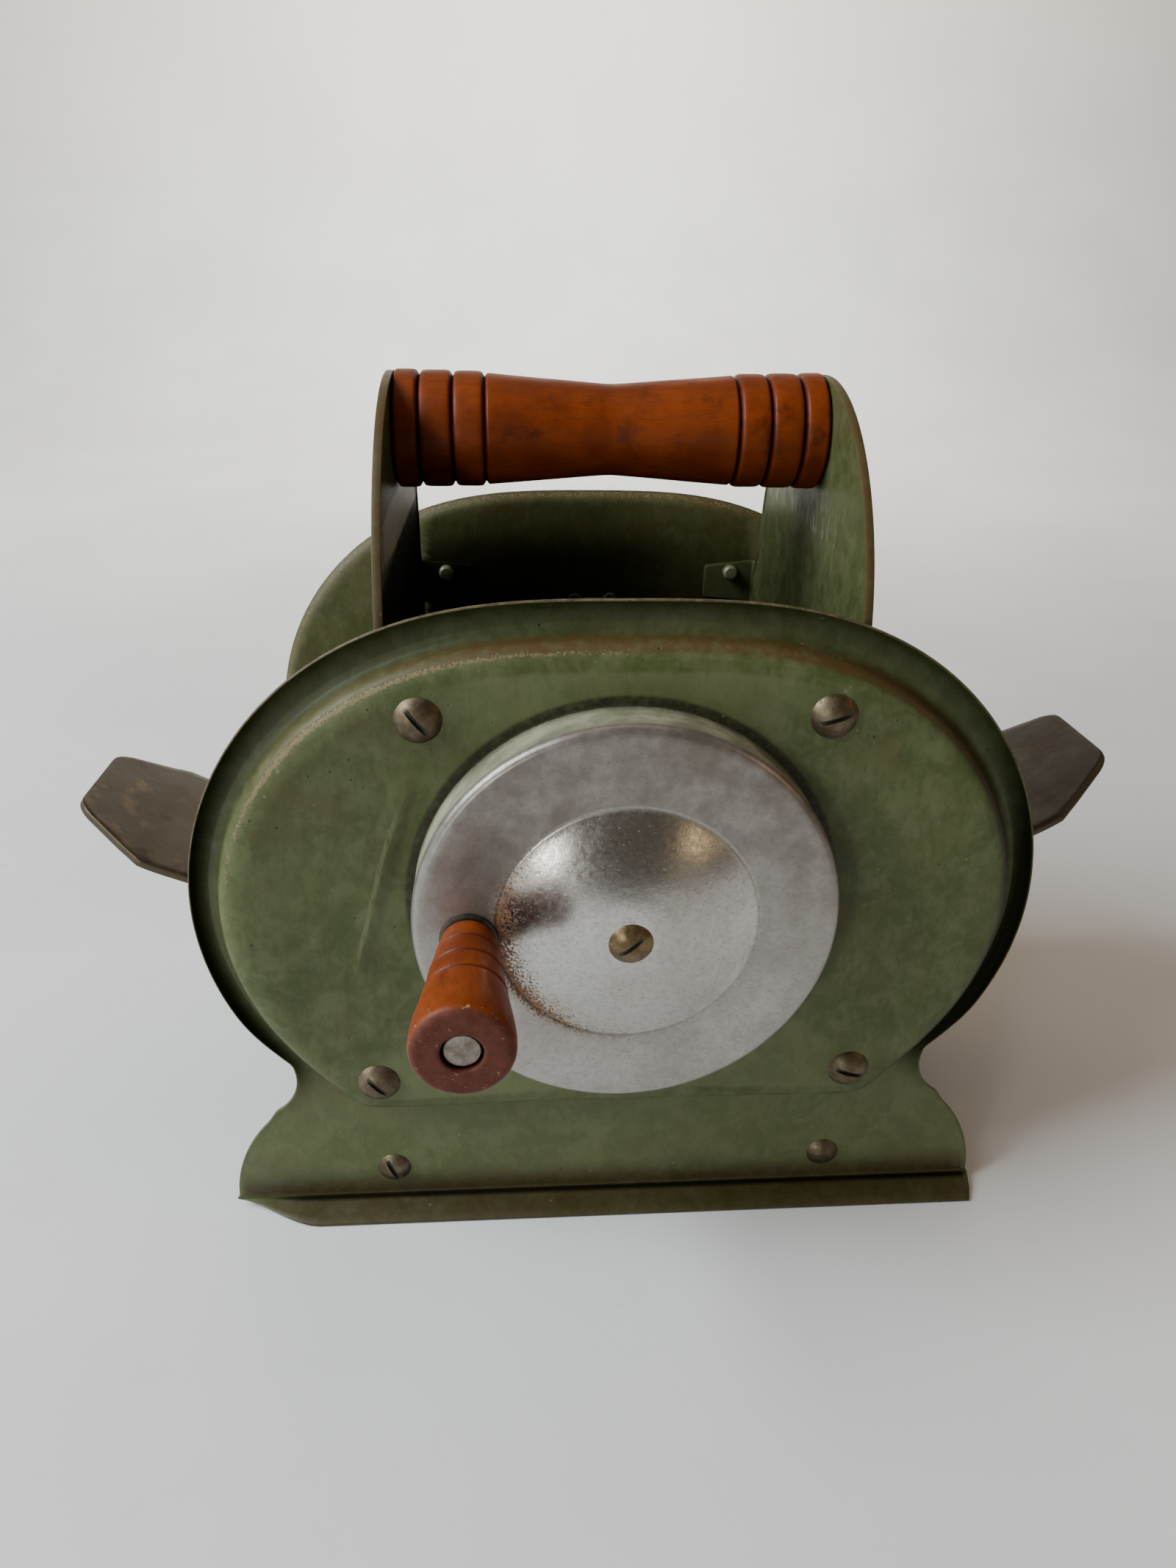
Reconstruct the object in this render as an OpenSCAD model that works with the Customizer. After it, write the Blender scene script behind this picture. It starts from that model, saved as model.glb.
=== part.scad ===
// Table-top hand crank grinder: two stamped end plates joined by rods and two cheek sheets,
// a toothed drum turned by a plated crank wheel, and two thumb levers that trim the outlet.
// Frame: x to the right, y away from the crank, z up, z = 0 on the table.
// Most modules draw in housing coordinates: the origin is on the crank axis at the front
// panel's outer face. The module housing() moves them to their place on the table.

/* [Housing] */
// Distance between the front panel's and the back plate's outer faces
housing_depth = 126; // [120:1:132]
// Height of the crank axis above the table
axle_height = 95.5; // [95.5:0.5:97]
// Place of the front panel's outer face along y
front_y = -41.5; // [-44:0.5:-38]
// Thickness of the plate and cheek sheet
sheet = 1.2; // [1:0.1:1.5]
// How far the rim channel and the foot lie behind the raised panel
channel_depth = 7; // [6:0.5:8]
// How far the rim's lip turns back towards the panel's level
lip_rise = 2; // [1:0.5:2.5]

/* [Crank] */
// Radius of the crank wheel
wheel_r = 46.7; // [45:0.1:47]
// Distance from the panel to the wheel's flat face
wheel_face = 12.3; // [11:0.1:12.5]
// Radius of the wheel's dome
dome_r = 28.3; // [26:0.1:30]
// Distance of the knob's pin from the crank axis, sideways
knob_x = -34.4; // [-36:0.1:-34]
// Height of the knob's pin over the crank axis
knob_z = -2; // [-4:0.5:4]
// Distance from the panel to the knob's outer end
knob_end = 51; // [48:0.5:54]

/* [Drum] */
// Radius at the tips of the cutter teeth
tooth_tip_r = 42; // [38:0.5:42]
// Number of cutter discs
cutter_count = 11; // [7:1:13]
// Teeth on each cutter disc
tooth_count = 24; // [16:1:30]

/* [Cheeks and grip] */
// Distance from the middle to each cheek's outer face
cheek_x = 52.5; // [51.5:0.5:53.5]
// Height of the grip's axis over the crank axis
grip_z = 93.5; // [92:0.5:94]
// Distance of the grip's axis behind the front panel
grip_y = 63; // [60:0.5:70]
// Radius of the grip's end beads
grip_r = 13.5; // [12:0.5:14]
// Radius of the grip's waist
grip_waist_r = 10.5; // [9:0.5:11]

/* [Levers] */
// Slope of the left lever's plate as stored
left_slope = 22.3; // [18:0.1:34]
// Slope of the right lever's plate as stored
right_slope = 28; // [18:0.1:34]
// Plate length from the rod to the tab's bend, left lever
left_reach = 71.6; // [70:0.1:74]
// Plate length from the rod to the tab's bend, right lever
right_reach = 77; // [75:0.1:80]
// Width of the lever plate
lever_w = 54; // [50:1:56]
// Width of the tab's outer end
tab_w = 34; // [30:1:40]

/* [Hidden] */

$fn = 48;
EPS = 0.01;
mid_y = housing_depth / 2;

// Colours of the finished surfaces
GREEN = [0.33, 0.40, 0.27];
PLATED = [0.72, 0.72, 0.70];
WOOD = [0.60, 0.26, 0.08];
OLD_STEEL = [0.36, 0.33, 0.30];
BRASS = [0.62, 0.52, 0.34];
BLACKENED = [0.20, 0.19, 0.18];

// Stamped outline: an oval about a centre below the axis, cut off by a waist and a foot
oval_z = -13.2;
fold_z = -93;
foot_half = 98;
panel_floor_z = -60;
corner_soft = 1.5;
oval_end = 115;
oval_steps = 16;
waist_arc = [90.5, -54.5, 11.5];
foot_arc = [61, -91, 36];
floor_angles = [136 : 8 : 176];

// Fasteners: upper panel screws, lower panel screws and foot screws
upper_xz = [43.9, 43.6];
lower_xz = [57.7, -50.3];
foot_xz = [56.5, -83.8];
screw_r = 2.2;
screw_gap = 0.05;
panel_head_r = 5.15;
foot_head_r = 4.25;
upper_slots = [-50, 20];
lower_slots = [-45, -15];
foot_slots = [-63, 10];

// Rods, spacers and levers
rod_r = 3.5;
spacer_r = 4.5;
tie_r = 3.5;
lever_sheet = 2;
lever_lift = 15;
eye_r = 7;
lip_u = -24;
lip_h = 8;
tab_len = 20.9;
tab_bend = 12;
tab_corner = 3;

// Shaft line
journal_r = 5;
square_w = 11;
hub_square = 7;
drum_y = [12, housing_depth - 12];
end_disc = 2;
cutter_t = 2;
spacer_bore_r = 8;
disc_spacer_r = 16;
pin_r = 3;

function oval_r(a) = 88.9 + 3.7 * cos(a) - 7 * cos(2 * a) - 4.8 * cos(3 * a)
                     + 1.1 * cos(4 * a) - cos(5 * a);
function polar(a, r) = [r * sin(a), oval_z + r * cos(a)];
function angle_of(p) = atan2(p[0], p[1] - oval_z);

// Panel radius: an oval of its own, blended into the flat lower edge
function panel_side_r(a) = 84.1 - 1.7 * cos(a) - 4.1 * cos(2 * a) - 6.5 * cos(3 * a)
                           + 2.1 * cos(4 * a) - cos(5 * a);
function panel_floor_r(a) = (panel_floor_z - oval_z) / cos(a);
function panel_r(a) = let (r = panel_side_r(a))
    abs(a) < 92 ? r : -corner_soft * ln(exp(-r / corner_soft)
                                        + exp(-panel_floor_r(a) / corner_soft));

// Right half of the stamped edge from the top down to the fold, then along the fold
right_half = concat(
    [for (i = [0 : oval_steps]) let (a = i * oval_end / oval_steps) polar(a, oval_r(a))],
    [for (t = [165 : 19 : 241]) [waist_arc[0] + waist_arc[2] * cos(t),
                                 waist_arc[1] + waist_arc[2] * sin(t)]],
    [for (t = [44 : -11 : 0]) [foot_arc[0] + foot_arc[2] * cos(t),
                               foot_arc[1] + foot_arc[2] * sin(t)]],
    [[foot_half, fold_z]],
    [for (a = floor_angles) polar(a, (fold_z - oval_z) / cos(a))]);
left_half = [for (i = [len(right_half) - 1 : -1 : 1]) [-right_half[i][0], right_half[i][1]]];
edge = concat(right_half, left_half);

// The lip stands only along the oval part and fades out at the waist
function lip_share(a) = 1 - min(1, max(0, (abs(a) - 104) / 12));

// Section rows across the sheet: [inset from the panel edge, share of the way to the outer
// edge, depth, share of the lip], first the outer face outwards, then the inner face back.
// The front plate has a raised panel, the back plate is flat inside its lip.
raised_outer = [[5.5, 0, 0, 0], [3.2, 0, 0.3, 0], [1.4, 0, 1.2, 0], [0.4, 0, 2.8, 0],
                [0, 0, 4.8, 0], [-1, 0, channel_depth - 0.5, 0], [-2.6, 0, channel_depth, 0],
                [-2.6, 0.6, channel_depth, 0.1], [-2.6, 1, channel_depth, 1]];
raised_inner = [[-2.6, 1, channel_depth + sheet, 1], [-2.6, 0.6, channel_depth + sheet, 0.1],
                [-2.4, 0, channel_depth + sheet, 0], [-0.2, 0, channel_depth + 0.6, 0],
                [1.2, 0, 5.6, 0], [1.6, 0, 3.4, 0], [2.4, 0, 2.2, 0], [3.6, 0, 1.5, 0],
                [5.7, 0, sheet, 0]];
flat_outer = [[0, 0, 0, 0], [-2.6, 0.6, 0, 0.1], [-2.6, 1, 0, 1]];
flat_inner = [[-2.6, 1, sheet, 1], [-2.6, 0.6, sheet, 0.1], [0, 0, sheet, 0]];

function section_point(p, row) =
    let (a = angle_of(p), q = polar(a, panel_r(a) - row[0]))
    [q[0] + (p[0] - q[0]) * row[1],
     row[2] - row[3] * lip_rise * lip_share(a),
     q[1] + (p[1] - q[1]) * row[1]];

// Moves housing coordinates to their place on the table
module housing() {
    translate([0, front_y, axle_height]) children();
}

// Cylinder along y between two depths
module rod_y(r, y0, y1, x = 0, z = 0) {
    translate([x, y0, z]) rotate([-90, 0, 0]) cylinder(r = r, h = y1 - y0);
}

// Tube along y between two depths
module tube_y(r_out, r_in, y0, y1, x = 0, z = 0) {
    difference() {
        rod_y(r_out, y0, y1, x, z);
        rod_y(r_in, y0 - 1, y1 + 1, x, z);
    }
}

// Square bar along y between two depths
module bar_y(w, y0, y1) {
    translate([-w / 2, y0, -w / 2]) cube([w, y1 - y0, w]);
}

// Extrudes an x-z outline along y, or a y-z outline along x
module slab_y(y0, y1) {
    translate([0, y1, 0]) rotate([90, 0, 0]) linear_extrude(y1 - y0) children();
}

module slab_x(x0, x1) {
    translate([x0, 0, 0]) rotate([90, 0, 90]) linear_extrude(x1 - x0) children();
}

// Turns an [r, distance in front of the panel] profile about the crank axis
module turned() {
    rotate([90, 0, 0]) rotate_extrude($fn = 96) children();
}

// Turns a piece drawn for the front plate round to the back plate
module at_back() {
    translate([0, housing_depth, 0]) mirror([0, 1, 0]) children();
}

// Draws a piece at the front plate and its mirror image at the back plate
module both_ends() {
    children();
    at_back() children();
}

// Draws a piece on the right and its mirror image on the left
module both_sides() {
    children();
    mirror([1, 0, 0]) children();
}

// Domed slotted screw along +y: head in front of y = 0, shank behind it
module screw_y(head_r, head_h, shank_r, length, slot_angle) {
    dome_ball = (head_r * head_r + head_h * head_h) / (2 * head_h);
    difference() {
        intersection() {
            translate([0, dome_ball - head_h, 0]) sphere(r = dome_ball, $fn = 64);
            rod_y(head_r, -head_h - 1, 0);
        }
        rotate([0, -slot_angle, 0])
            translate([-head_r - 1, -head_h - 1, -0.55])
                cube([2 * head_r + 2, 2, 1.1]);
    }
    rod_y(shank_r, -EPS, length);
}

// A pair of screws, one on each side, in one end plate
module screw_pair(xz, y, head_r, head_h, length, slots) {
    for (i = [0, 1])
        translate([(2 * i - 1) * xz[0], y, xz[1]])
            screw_y(head_r, head_h, screw_r, length, slots[i]);
}

// Stamped end plate seen from its outside, at y = 0, with the foot's flared flange
module end_plate(rows, level) {
    count = len(edge);
    points = [for (row = rows) for (p = edge) section_point(p, row)];
    bands = [for (k = [0 : len(rows) - 2]) for (i = [0 : count - 1])
        let (j = (i + 1) % count)
        [k * count + i, (k + 1) * count + i, (k + 1) * count + j, k * count + j]];
    front_cap = [for (i = [0 : count - 1]) i];
    back_cap = [for (i = [count - 1 : -1 : 0]) (len(rows) - 1) * count + i];
    difference() {
        union() {
            polyhedron(points = points, faces = concat([front_cap], bands, [back_cap]));
            slab_x(-foot_half, foot_half)
                polygon([[level, fold_z + 1.5], [level + sheet, fold_z + 1.5],
                         [level + sheet, fold_z - 0.9], [level - 5, fold_z - 2.5],
                         [level - 8, fold_z - 2.5], [level - 8, fold_z - 1.3],
                         [level, fold_z + 0.3]]);
        }
        rod_y(8, -1, 3);
        both_sides() {
            rod_y(screw_r + screw_gap, -1, 4, upper_xz[0], upper_xz[1]);
            rod_y(screw_r + screw_gap, -1, 4, lower_xz[0], lower_xz[1]);
            rod_y(screw_r + screw_gap, level - 2, level + 3, foot_xz[0], foot_xz[1]);
        }
    }
}

module front_plate() {
    color(GREEN) housing() end_plate(concat(raised_outer, raised_inner), channel_depth);
}

module back_plate() {
    color(GREEN) housing() at_back() end_plate(concat(flat_outer, flat_inner), 0);
}

// Cheek sheet: an arch that carries the grip, two legs and a window over the lever
arch_r = 54;
arch_z = 52.5;
cheek_front = 9;
leg_front = 2.6;
cheek_floor = -56;
window_y = [mid_y - 32.5, mid_y + 32.5];
window_top = -31;
tab_z = [34, 47];

module cheek_outline() {
    back = housing_depth - cheek_front;
    difference() {
        union() {
            intersection() {
                translate([mid_y, arch_z]) circle(r = arch_r, $fn = 96);
                translate([cheek_front, arch_z]) square([back - cheek_front, arch_r + 1]);
            }
            polygon([[cheek_front, arch_z + 1], [cheek_front, 52], [leg_front, 42],
                     [leg_front, cheek_floor],
                     [housing_depth - leg_front, cheek_floor], [housing_depth - leg_front, 42],
                     [back, 52], [back, arch_z + 1]]);
        }
        translate([window_y[0], cheek_floor - 1])
            square([window_y[1] - window_y[0], window_top - cheek_floor + 1]);
    }
}

// One end's tabs: the upper one turns inwards, the lower one outwards
module cheek_tabs() {
    inner = cheek_x - sheet;
    reach = 16.5;
    translate([inner, sheet, tab_z[0]]) cube([sheet, leg_front, tab_z[1] - tab_z[0]]);
    difference() {
        slab_y(sheet, 2 * sheet) {
            translate([cheek_x - reach + 3, tab_z[0]])
                square([reach - 3, tab_z[1] - tab_z[0]]);
            translate([cheek_x - reach, tab_z[0] + 3])
                square([reach, tab_z[1] - tab_z[0] - 6]);
            for (z = [tab_z[0] + 3, tab_z[1] - 3])
                translate([cheek_x - reach + 3, z]) circle(r = 3);
        }
        rod_y(screw_r + screw_gap, 0, 4, upper_xz[0], upper_xz[1]);
    }
    translate([inner, sheet, lower_xz[1] - 4.8]) cube([sheet, leg_front, 9.6]);
    difference() {
        slab_y(sheet, 2 * sheet) {
            translate([inner, lower_xz[1] - 4.8]) square([lower_xz[0] - inner, 9.6]);
            translate(lower_xz) circle(r = 4.8);
        }
        rod_y(screw_r + screw_gap, 0, 4, lower_xz[0], lower_xz[1]);
    }
}

module cheek() {
    difference() {
        union() {
            slab_x(cheek_x - sheet, cheek_x) cheek_outline();
            both_ends() cheek_tabs();
        }
        translate([cheek_x - sheet - 1, grip_y, grip_z])
            rotate([0, 90, 0]) cylinder(r = screw_r + screw_gap, h = sheet + 2);
    }
}

module left_cheek() {
    color(GREEN) housing() mirror([1, 0, 0]) cheek();
}

module right_cheek() {
    color(GREEN) housing() cheek();
}

module cheek_screws() {
    color(OLD_STEEL) housing() both_ends()
        screw_pair(upper_xz, 0, panel_head_r, 2.6, 5.2, upper_slots);
}

// Turned grip: three beads at each end and a straight double taper to the waist
bead_edges = [29.8, 37.3, 45.1];
groove_h = 0.7;
groove_w = 0.9;

module grip() {
    half = cheek_x - sheet - 0.1;
    hole_r = screw_r + screw_gap;
    right_half_profile = concat(
        [[0, grip_waist_r], [bead_edges[0] - groove_w, grip_r - 0.7]],
        [for (k = [0 : 2]) each [
            [bead_edges[k], grip_r - 0.7 - groove_h],
            [bead_edges[k] + groove_w, grip_r - 0.4 + 0.13 * k],
            [(k < 2 ? bead_edges[k + 1] : half) - groove_w, grip_r - 0.4 + 0.2 * k]]],
        [[half, grip_r - 1], [half, 0]]);
    full_profile = concat(
        right_half_profile,
        [for (i = [len(right_half_profile) - 1 : -1 : 1])
            [-right_half_profile[i][0], right_half_profile[i][1]]]);
    color(WOOD) housing() translate([0, grip_y, grip_z]) rotate([0, 90, 0])
        difference() {
            rotate_extrude($fn = 96) polygon([for (p = full_profile) [p[1], p[0]]]);
            for (end = [-1, 1])
                translate([0, 0, end * (half - 10)])
                    cylinder(r = hole_r, h = 24, center = true);
        }
}

module grip_screws() {
    color(OLD_STEEL) housing() both_sides()
        translate([cheek_x, grip_y, grip_z]) rotate([0, 0, 90])
            screw_y(6.2, 2.2, screw_r, 21, 35);
}

// Rods under the lower panel screws carry the levers
module hinge_rods() {
    color(BLACKENED) housing() both_sides()
        difference() {
            rod_y(rod_r, 2 * sheet, housing_depth - 2 * sheet, lower_xz[0], lower_xz[1]);
            both_ends()
                rod_y(screw_r + screw_gap, 0, 14, lower_xz[0], lower_xz[1]);
        }
}

module rod_screws() {
    color(OLD_STEEL) housing() both_ends()
        screw_pair(lower_xz, 0, panel_head_r, 2.6, 13, lower_slots);
}

washer_t = 0.5;
lever_y = [mid_y - lever_w / 2, mid_y + lever_w / 2];

module rod_spacers() {
    color(OLD_STEEL) housing() both_sides() both_ends()
        tube_y(spacer_r, rod_r + screw_gap, 2 * sheet, lever_y[0] - washer_t - 0.2,
               lower_xz[0], lower_xz[1]);
}

module friction_washers() {
    color(BLACKENED) housing() both_sides() both_ends()
        tube_y(eye_r - 1, rod_r + screw_gap, lever_y[0] - washer_t - 0.15, lever_y[0] - 0.15,
               lower_xz[0], lower_xz[1]);
}

// Ties across the feet
module foot_ties() {
    color(BLACKENED) housing() both_sides()
        difference() {
            rod_y(tie_r, channel_depth + sheet, housing_depth - sheet, foot_xz[0], foot_xz[1]);
            rod_y(screw_r + screw_gap, 0, channel_depth + 13, foot_xz[0], foot_xz[1]);
            at_back() rod_y(screw_r + screw_gap, 0, 13, foot_xz[0], foot_xz[1]);
        }
}

module foot_screws() {
    color(OLD_STEEL) housing() {
        screw_pair(foot_xz, channel_depth, foot_head_r, 2, 12, foot_slots);
        at_back() screw_pair(foot_xz, 0, foot_head_r, 2, 12, foot_slots);
    }
}

// Flanged bushing in an end plate, with the plate's face at y = 0
module bushing() {
    bore_r = journal_r + 0.05;
    difference() {
        union() {
            rod_y(8, -1, 10);
            rod_y(13, sheet, 3.2);
        }
        rod_y(bore_r, -2, 11);
    }
}

module front_bushing() {
    color(BRASS) housing() bushing();
}

module rear_bushing() {
    color(BRASS) housing() at_back() bushing();
}

// Axle: square for the hub, journal, square for the drum, journal with a clip groove
hub_y = [-17.6, -2];
clip_y = housing_depth + 2.6;
axle_end = housing_depth + 5;

module axle() {
    color(OLD_STEEL) housing()
        difference() {
            union() {
                bar_y(hub_square, hub_y[0] + 0.5, hub_y[1] + EPS);
                rod_y(journal_r, hub_y[1], axle_end);
                bar_y(square_w, drum_y[0], drum_y[1]);
            }
            rod_y(screw_r + screw_gap, hub_y[0], hub_y[0] + 15);
            tube_y(journal_r + 1, journal_r - 1, clip_y, clip_y + 1);
        }
}

module axle_clip() {
    color(BLACKENED) housing()
        difference() {
            rod_y(8, clip_y + 0.1, clip_y + 0.9);
            rod_y(journal_r - 0.95, clip_y, clip_y + 1);
            translate([-2.5, clip_y, -10]) cube([5, 1, 10]);
        }
}

module wheel_hub() {
    color(OLD_STEEL) housing()
        difference() {
            union() {
                rod_y(9, hub_y[0], hub_y[1]);
                rod_y(12, hub_y[1] - 3, hub_y[1]);
            }
            bar_y(hub_square + 0.1, hub_y[0] - 1, hub_y[1] + 1);
        }
}

// Crank wheel: rim wall, flat face and a raised dome, pressed from one sheet
module crank_wheel() {
    crown = -hub_y[0] + sheet;
    drop = crown - wheel_face;
    dome = [[9.5, 0], [12, 0.1], [16, 0.29], [22, 0.6], [27, 0.91], [dome_r, 1]];
    front = concat([for (p = dome) [p[0], crown - drop * p[1]]],
                   [[wheel_r - 1.5, wheel_face], [wheel_r - 0.45, wheel_face - 0.45],
                    [wheel_r, wheel_face - 1.5], [wheel_r, 0.4]]);
    back = concat([[wheel_r - sheet, 0.4], [wheel_r - sheet, wheel_face - 1.7],
                   [wheel_r - 1.7, wheel_face - sheet]],
                  [for (i = [len(dome) - 1 : -1 : 0])
                      [dome[i][0], crown - sheet - drop * dome[i][1]]]);
    color(PLATED) housing()
        difference() {
            turned() polygon(concat([[screw_r + screw_gap, crown]], front, back,
                                    [[screw_r + screw_gap, crown - sheet]]));
            rod_y(pin_r + screw_gap, -wheel_face - 1, -wheel_face + 3, knob_x, knob_z);
        }
}

module wheel_screw() {
    color(BRASS) housing() translate([0, hub_y[0] - sheet, 0])
        screw_y(4.8, 2, screw_r, 14, 40);
}

module knob_washer() {
    color(BLACKENED) housing()
        tube_y(6.3, pin_r + screw_gap, -wheel_face - 0.95, -wheel_face, knob_x, knob_z);
}

// Pin of the knob: rivet tail behind the wheel, shank, and a flat head in the knob's end
pin_head = [-knob_end + 0.8, -knob_end + 2.5];

module knob_pin() {
    tail = -wheel_face + sheet;
    color(OLD_STEEL) housing() {
        rod_y(4.4, tail, tail + 1.4, knob_x, knob_z);
        rod_y(pin_r, pin_head[0] + 0.5, tail + 0.5, knob_x, knob_z);
        rod_y(3.7, pin_head[0], pin_head[1], knob_x, knob_z);
    }
}

module crank_knob() {
    base = wheel_face + 1.1;
    floor = -pin_head[1] - 0.25;
    bore_r = pin_r + 0.06;
    profile = [[5.1, base], [5.8, base + 0.8], [6.7, base + 6.6], [6.2, base + 7.2],
               [6.9, base + 7.8], [7.7, base + 13.6], [7.2, base + 14.2], [7.9, base + 14.8],
               [8.5, base + 20.4], [8, base + 21], [8.7, base + 21.6], [10.2, knob_end - 3.5],
               [10.2, knob_end - 1.6], [9.5, knob_end - 0.4], [8.4, knob_end],
               [4.1, knob_end], [4.1, floor], [bore_r, floor], [bore_r, base]];
    color(WOOD) housing() translate([knob_x, 0, knob_z]) turned() polygon(profile);
}

// Drum: toothed discs and round spacers on the square bar, between two plain end discs
cutter_span = drum_y[1] - drum_y[0] - 2 * end_disc;
spacer_t = (cutter_span - cutter_count * cutter_t) / (cutter_count + 1);

function cutter_y(i) = drum_y[0] + end_disc + spacer_t + i * (cutter_t + spacer_t);

module cutter_outline(turn) {
    step = 360 / tooth_count;
    difference() {
        polygon([for (i = [0 : tooth_count - 1]) each [
            [(tooth_tip_r - 4) * cos(i * step + turn), (tooth_tip_r - 4) * sin(i * step + turn)],
            [tooth_tip_r * cos((i + 0.45) * step + turn),
             tooth_tip_r * sin((i + 0.45) * step + turn)],
            [tooth_tip_r * cos((i + 0.6) * step + turn),
             tooth_tip_r * sin((i + 0.6) * step + turn)]]]);
        square(square_w + 0.1, center = true);
    }
}

module cutter_discs() {
    color(OLD_STEEL) housing()
        for (i = [0 : cutter_count - 1])
            slab_y(cutter_y(i), cutter_y(i) + cutter_t)
                cutter_outline(i % 2 * 180 / tooth_count);
}

module disc_spacers() {
    color(OLD_STEEL) housing()
        for (i = [0 : cutter_count])
            tube_y(disc_spacer_r, spacer_bore_r, cutter_y(i) - spacer_t, cutter_y(i));
}

module drum_end_discs() {
    color(OLD_STEEL) housing() both_ends()
        difference() {
            rod_y(38, drum_y[0], drum_y[0] + end_disc);
            bar_y(square_w + 0.1, drum_y[0] - 1, drum_y[0] + end_disc + 1);
        }
}

module thrust_washers() {
    color(BRASS) housing() both_ends()
        tube_y(9, journal_r + 0.05, drum_y[0] - 1.6, drum_y[0] - 0.2);
}

// Lever in its own coordinates: the origin on the rod, u along the plate outwards, v up
module lever(reach) {
    half = lever_sheet / 2;
    v0 = lever_lift - half;
    v1 = lever_lift + half;
    tip = [reach + tab_len * cos(tab_bend), lever_lift + tab_len * sin(tab_bend)];
    nose = [half * sin(tab_bend), half * cos(tab_bend)];
    difference() {
        slab_y(lever_y[0], lever_y[1])
            polygon([[lip_u, v0], [reach, v0], [tip[0] + nose[0], tip[1] - nose[1]],
                     [tip[0] - nose[0], tip[1] + nose[1]], [reach, v1],
                     [lip_u + lever_sheet, v1], [lip_u + lever_sheet, v0 + lip_h],
                     [lip_u, v0 + lip_h]]);
        both_ends() translate([0, lever_y[0], 0]) linear_extrude(reach)
            polygon([[reach, -1], [reach + tab_len + 2, -1],
                     [reach + tab_len + 2, (lever_w - tab_w) / 2 + tab_corner],
                     [reach + tab_len - 1.3, (lever_w - tab_w) / 2 + 1.2],
                     [reach + tab_len - 2.6, (lever_w - tab_w) / 2 - 0.6],
                     [reach + 1.5, 0]]);
    }
    both_ends()
        difference() {
            slab_y(lever_y[0], lever_y[0] + lever_sheet) {
                circle(r = eye_r);
                polygon([[-eye_r, 0], [eye_r, 0], [eye_r + 3, v0 + half],
                         [-eye_r - 3, v0 + half]]);
            }
            rod_y(rod_r + 0.06, lever_y[0] - 1, lever_y[0] + lever_sheet + 1);
        }
}

module left_lever() {
    color(BLACKENED) housing() mirror([1, 0, 0])
        translate([lower_xz[0], 0, lower_xz[1]]) rotate([0, -left_slope, 0]) lever(left_reach);
}

module right_lever() {
    color(BLACKENED) housing()
        translate([lower_xz[0], 0, lower_xz[1]]) rotate([0, -right_slope, 0]) lever(right_reach);
}

front_plate();
back_plate();
left_cheek();
right_cheek();
cheek_screws();
grip();
grip_screws();
hinge_rods();
rod_screws();
rod_spacers();
friction_washers();
foot_ties();
foot_screws();
front_bushing();
rear_bushing();
axle();
wheel_hub();
crank_wheel();
wheel_screw();
knob_washer();
knob_pin();
crank_knob();
cutter_discs();
disc_spacers();
drum_end_discs();
thrust_washers();
axle_clip();
left_lever();
right_lever();
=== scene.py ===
"""Looks of the hand crank grinder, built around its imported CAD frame.

Shapes are drawn in housing coordinates: millimetres, with the origin on the crank axis at the
front panel's outer face, x to the right, y away from the crank and z up. Every mesh is moved
to the row frame, in metres, when it is made.
"""
import math

import bmesh
import bpy
import numpy as np
from mathutils import Matrix, Vector, noise

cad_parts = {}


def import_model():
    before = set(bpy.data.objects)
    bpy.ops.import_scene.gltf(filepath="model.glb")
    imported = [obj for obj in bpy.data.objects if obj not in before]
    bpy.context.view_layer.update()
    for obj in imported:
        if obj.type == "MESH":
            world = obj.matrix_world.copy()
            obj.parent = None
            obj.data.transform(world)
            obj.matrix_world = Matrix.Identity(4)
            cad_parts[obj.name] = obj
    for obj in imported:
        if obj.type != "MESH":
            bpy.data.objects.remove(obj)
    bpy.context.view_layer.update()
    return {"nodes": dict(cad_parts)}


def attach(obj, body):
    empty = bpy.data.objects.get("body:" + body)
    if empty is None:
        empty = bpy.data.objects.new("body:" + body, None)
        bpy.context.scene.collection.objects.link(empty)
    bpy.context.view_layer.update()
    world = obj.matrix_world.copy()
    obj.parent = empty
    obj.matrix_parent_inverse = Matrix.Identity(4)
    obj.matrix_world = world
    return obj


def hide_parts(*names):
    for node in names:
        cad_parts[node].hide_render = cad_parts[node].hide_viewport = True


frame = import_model()

MM = 0.001
HOUSING_ORIGIN = np.array([0.0, -41.5, 95.5])

# Stamped plates
DEPTH = 126.0
SHEET = 1.2
CHANNEL = 7.0
LIP_RISE = 2.0
OVAL_Z = -13.2
OVAL_END = 115.0
FOLD_Z = -93.0
FOOT_HALF = 98.0
PANEL_FLOOR_Z = -60.0
CORNER_SOFT = 1.5
WAIST = ((90.5, -54.5), 11.5)
FOOT_ARC = ((61.5, -92.5), 35.5)
HOLE_R = 8.0

# Long kink in the front panel: its place, height and lean
CREASE = (-52.8, 10.9)
CREASE_LEAN = 0.29

# Fasteners
UPPER = (43.9, 43.6)
LOWER = (57.7, -50.3)
FOOT = (56.5, -83.8)
SHANK_R = 2.2

# Crank
WHEEL_R = 46.7
WHEEL_FACE = 12.3
CROWN = 18.8
# Fall of the dome from its crown, as (radius, share of the whole drop)
DOME = ((2.3, 0.0), (5.0, 0.0), (8.0, 0.03), (11.0, 0.11), (16.0, 0.31), (22.0, 0.615),
        (27.0, 0.92), (28.2, 0.985))
KNOB = (-34.4, -2.0)
KNOB_END = 51.0

# Cheeks and grip
CHEEK_X = 52.5
CHEEK_HEM = 0.4
HEM_WIDTH = 0.8
TAB_R = 1.4
MID_Y = DEPTH / 2
ARCH_R = 54.0
ARCH_Z = 52.5
GRIP_Y = 63.0
GRIP_Z = 93.5
GRIP_R = 13.5
GRIP_WAIST = 10.5

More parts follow.
